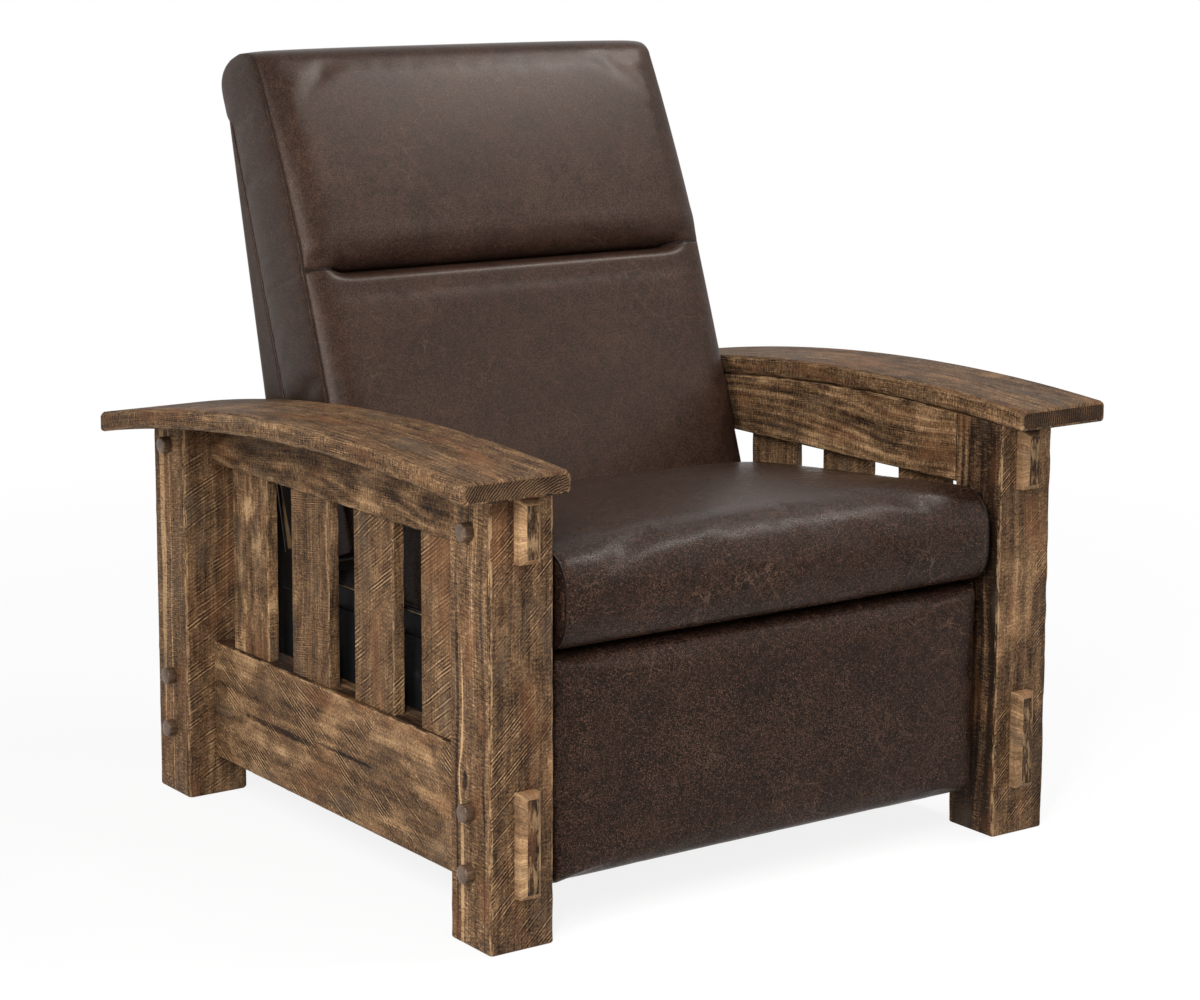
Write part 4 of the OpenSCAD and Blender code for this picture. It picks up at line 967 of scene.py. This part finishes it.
def footrestPad(look):
    # bend is the sine of the edge's turn, 1 at the rim and 0 on the flat; two that meet add as a right triangle's sides
    low, high, r, e = (look[k] for k in ("low", "high", "round", "side"))
    turn = np.sin(np.radians(np.linspace(90, 0, look["turns"])))
    edge = look["half"] - e + e * turn
    inner = np.linspace(-(look["half"] - e), look["half"] - e, look["columns"])[1:-1]
    x = joined(-edge, inner, edge[::-1])
    z = low + r - r * turn
    tall = np.linspace(low + r, high - r, look["rows"])[1:-1]
    rowZ = joined(z, tall, high - (z - low)[::-1])[:, None]
    bend = joined(turn, inner * 0, turn[::-1]) ** 2
    rowBend = joined(turn, tall * 0, turn[::-1])[:, None] ** 2
    across = np.clip(1 - (x / look["half"]) ** 4, 0, 1)
    crown = look["crown"] * across * np.sin((rowZ - low) / (high - low) * math.pi) ** 0.7
    size = e + (r - e) * rowBend / np.maximum(bend + rowBend, 1e-6)
    y = look["face"] + size * (1 - np.sqrt(1 - np.clip(bend + rowBend, 0, 1))) - crown
    front, rear = surface(x, y, rowZ), surface(x, np.full_like(y, look["back"]), rowZ)
    # close the bottom and the top between the face and the back
    meet = (front + rear) / 2
    front, rear = (joined(meet[:1], part, meet[-1:]) for part in (front, rear))
    piece, frontAt, rearAt = cushionMesh("footrestPad", front, rear, 0.0)
    upholster(piece, look, (frontAt[:, [0, -1]], rearAt, frontAt[[0, -1]]), frontAt)


footrestPad(padLook)
print("recliner: footrest pad made")


# Outer back: leather drawn over the frame's rear and its sides, up to its top edge, with a welt

shellLook = {
    "half": 0.3363, "low": 0.3302, "high": 0.9500, "sides": 0.4751, "hinge": 0.345, "rear": (0.265, 13.6),
    "plane": (0.1724, 20.5), "round": 0.012, "thick": 3.4 * mm, "seam": (0.8 * mm, 3 * mm, 1.6 * mm), "seamIn": 4,
    "rows": (12, 46), "turns": 6, "columns": 44, "wallColumns": 9,
}


def outerBack(look):
    r = look["round"]
    below, above = look["rows"]
    z = joined(np.linspace(look["low"], look["sides"], below), np.linspace(look["sides"], look["high"], above)[1:])
    z = z[:, None]
    rearY, planeY = (look[k][0] + (z - look["hinge"]) * math.tan(math.radians(look[k][1])) for k in ("rear", "plane"))
    turn = np.radians(np.linspace(0, 90, look["turns"]))[1:]
    flat = np.linspace(-(look["half"] - r), look["half"] - r, look["columns"])[1:-1]
    wall = np.linspace(0, 1, look["wallColumns"])
    # one side: its wall from the cushion's plane, then the round corner
    sideX = joined(np.full(len(wall), look["half"]), look["half"] - r + r * np.cos(turn))
    sideY = joined(np.minimum(planeY + (rearY - r - planeY) * wall, rearY - r), rearY - r + r * np.sin(turn), axis=1)
    x = joined(-sideX, flat, sideX[::-1])
    y = joined(sideY, np.repeat(rearY, len(flat), axis=1), sideY[:, ::-1], axis=1)
    points = surface(x, y, z)
    # below the side walls only the rear sheet stays
    column = np.arange(len(x) - 1)
    inWall = (column < len(wall) - 1) | (column > len(x) - 1 - len(wall))
    away = inWall & (z[:-1] < look["sides"] - 1e-6)
    quads = gridQuads(numbers(*y.shape))[~away.ravel()]
    piece = newPiece("outerBack", points, quads[:, ::-1].tolist())
    solid = piece.modifiers.new("hide", "SOLIDIFY")
    solid.thickness, solid.offset = look["thick"], -1
    subdivide(piece)
    inset = len(wall) + look["seamIn"]
    sew(piece, [points[:, inset], points[:, -1 - inset]], *look["seam"])
    dress(piece, "back", ("backLeather",), ["outer_back"])


outerBack(shellLook)
print("recliner: outer back made")


# Carried-over CAD pieces: steel, springs, screws, frame wood and the deck cloth

def steelFinish(name, base, rub, metal, rough):
    f = Finish(name)
    grit = f.noise(f.place(), 900.0, 2.0, 0.6)
    soil = f.noise(f.place(), 35.0, 4.0, 0.6)
    colour = f.blend(f.step(soil, 0.55, 0.75), base, rub)
    return f.close({"Base Color": colour, "Metallic": metal, "Roughness": rough + (soil - 0.5) * 0.25,
                    "Normal": f.bump(grit, 0.15 * mm)})


def frameWoodFinish():
    f = Finish("frameWood")
    x, y, z = f.split(f.place())
    rings = f.noise(f.join(x * 0.06, y, z), 90.0, 4.0, 0.6)
    fibres = f.noise(f.join(x * 0.03, y, z), 500.0, 2.0)
    tone = 0.5 + (rings - 0.5) * 0.9 + (fibres - 0.5) * 0.5
    colour = f.ramp(tone, (0.1, tint(150, 118, 80)), (0.5, tint(192, 160, 116)), (0.9, tint(214, 186, 146)))
    return f.close({"Base Color": colour, "Roughness": 0.7 + (fibres - 0.5) * 0.2, "Normal": f.bump(fibres, 0.5 * mm)})


def deckFinish():
    f = Finish("deckCloth")
    x, y, z = f.split(f.place())
    pitch = 1.6 * mm
    weave = f.sine(x * (2 * math.pi / pitch)) * f.sine(y * (2 * math.pi / pitch))
    tone = 0.5 + weave * 0.3 + (f.noise(f.join(x, y, z), 40.0, 3.0) - 0.5) * 0.4
    return f.close({"Base Color": f.ramp(tone, (0.1, tint(24, 23, 22)), (0.9, tint(52, 49, 46))), "Roughness": 0.95,
                    "Normal": f.bump(weave, 0.3 * mm)})


# slot of the CAD nodes: its finish
carriedFinishes = {
    "black_steel": steelFinish("blackSteel", tint(20, 20, 21), tint(40, 39, 38), 0.3, 0.55),
    "spring_wire": steelFinish("springWire", tint(120, 120, 122), tint(88, 86, 84), 1.0, 0.4),
    "zinc_screw": steelFinish("zincScrew", tint(176, 174, 168), tint(140, 136, 128), 1.0, 0.35),
    "frame_wood": frameWoodFinish(),
    "deck_cloth": deckFinish(),
}
finishes["deckCloth"] = carriedFinishes["deck_cloth"]
for part in frame["record"]["subparts"]:
    carried = frame["nodes"].get(part["node"])
    if carried is not None and part["material_slot"] in carriedFinishes:
        carried.data.materials.clear()
        carried.data.materials.append(carriedFinishes[part["material_slot"]])
print("recliner: CAD pieces dressed")


# Dust cloth: hangs straight down from the outer back and hides the works from behind; its dark weave also stands in for
# the shade inside the chair, so the slat gaps show dark

curtainLook = {"half": 0.331, "top": 0.458, "low": 0.180, "y": 0.2975, "thick": 1.2 * mm, "wave": 1.6 * mm,
               "columns": 68, "rows": 34, "held": "hung"}


def dustClothAndShadeSheet(look):
    # a hanging sheet: depth is a sine wave across that grows towards the hem
    x = np.linspace(-look["half"], look["half"], look["columns"])
    z = np.linspace(look["top"], look["low"], look["rows"])[:, None]
    down = (look["top"] - z) / (look["top"] - look["low"])
    wave = look["wave"] * (np.sin(x * 41) + 0.5 * np.sin(x * 73 + 1.3)) * down ** 0.7
    piece = newPiece("dustClothAndShadeSheet", surface(x, look["y"] + wave, z), gridQuads(numbers(*wave.shape)).tolist())
    piece.modifiers.new("cloth", "SOLIDIFY").thickness = look["thick"]
    applyModifiers(piece)
    dress(piece, "back", ("deckCloth",))


dustClothAndShadeSheet(curtainLook)
print("recliner: dust cloth hung")


# Floor, background and lamps

studio = {
    "floor": 14.0,
    "floorColour": tint(238, 238, 238),
    "glow": (0.86, 0.9, 3.0),   # white share near the chair, and the distances over which it grows to 1
    "white": (1, 1, 1, 1),
    "world": 0.3,
    # name: place, target, width, height, watts
    "lamps": {
        "keySoftbox": ((-3.0, -1.6, 2.0), (0, -0.1, 0.5), 1.0, 1.5, 78.0),
        "topSoftbox": ((2.5, -1.2, 3.95), (0, -0.15, 0.4), 1.5, 0.7, 120.0),
        "edgeStrip": ((-1.9, -2.1, 2.2), (0, 0.1, 0.8), 0.3, 1.4, 60.0),
        "rightFill": ((2.1, -2.8, 2.0), (0, 0, 0.55), 1.9, 1.7, 24.0),
    },
}


def looking(f):
    # 1 for what the camera sees, straight or in a reflection, and 0 for the light that falls on the chair
    rays = f.node("ShaderNodeLightPath").socket.node.outputs
    return Wire(f, rays["Is Camera Ray"]) + Wire(f, rays["Is Glossy Ray"]) + Wire(f, rays["Is Transmission Ray"])


def floorFinish(look):
    f = Finish("studioFloor")
    matt = f.node("ShaderNodeBsdfDiffuse", None, {"Color": look["floorColour"]})
    glow = f.node("ShaderNodeEmission", None, {"Color": look["white"], "Strength": 1.0})
    x, y, _ = f.split(f.place())
    least, near, far = look["glow"]
    share = least + f.step((x ** 2.0 + y ** 2.0) ** 0.5, near, far) * (1 - least)
    shown = f.node("ShaderNodeMixShader", None, {0: share, 1: matt, 2: glow})
    return f.show(f.node("ShaderNodeMixShader", None, {0: looking(f), 1: matt, 2: shown}))


def background(look):
    f = Finish("studio", bpy.data.worlds)
    dim = f.node("ShaderNodeBackground", None, (look["white"], look["world"]))
    glow = f.node("ShaderNodeBackground", None, (look["white"],))
    return f.show(f.node("ShaderNodeMixShader", None, {0: looking(f), 1: dim, 2: glow}), "ShaderNodeOutputWorld")


def buildStudio(look):
    corners = np.array([(-1, -1, 0), (1, -1, 0), (1, 1, 0), (-1, 1, 0)]) * look["floor"]
    floor = newPiece("studioFloor", corners, [(0, 1, 2, 3)])
    floor.data.materials.append(floorFinish(look))
    for name, (place, target, width, height, watts) in look["lamps"].items():
        lamp = bpy.data.lights.new(name, "AREA")
        lamp.shape = "RECTANGLE"
        lamp.size, lamp.size_y, lamp.energy = width, height, watts
        made = bpy.data.objects.new(name, lamp)
        aim = (Vector(target) - Vector(place)).to_track_quat("-Z", "Y")
        made.matrix_world = Matrix.Translation(place) @ aim.to_matrix().to_4x4()
        scene.collection.objects.link(made)
    scene.world = background(look)
    scene.view_settings.view_transform = "Standard"


buildStudio(studio)
print("recliner: studio lit")
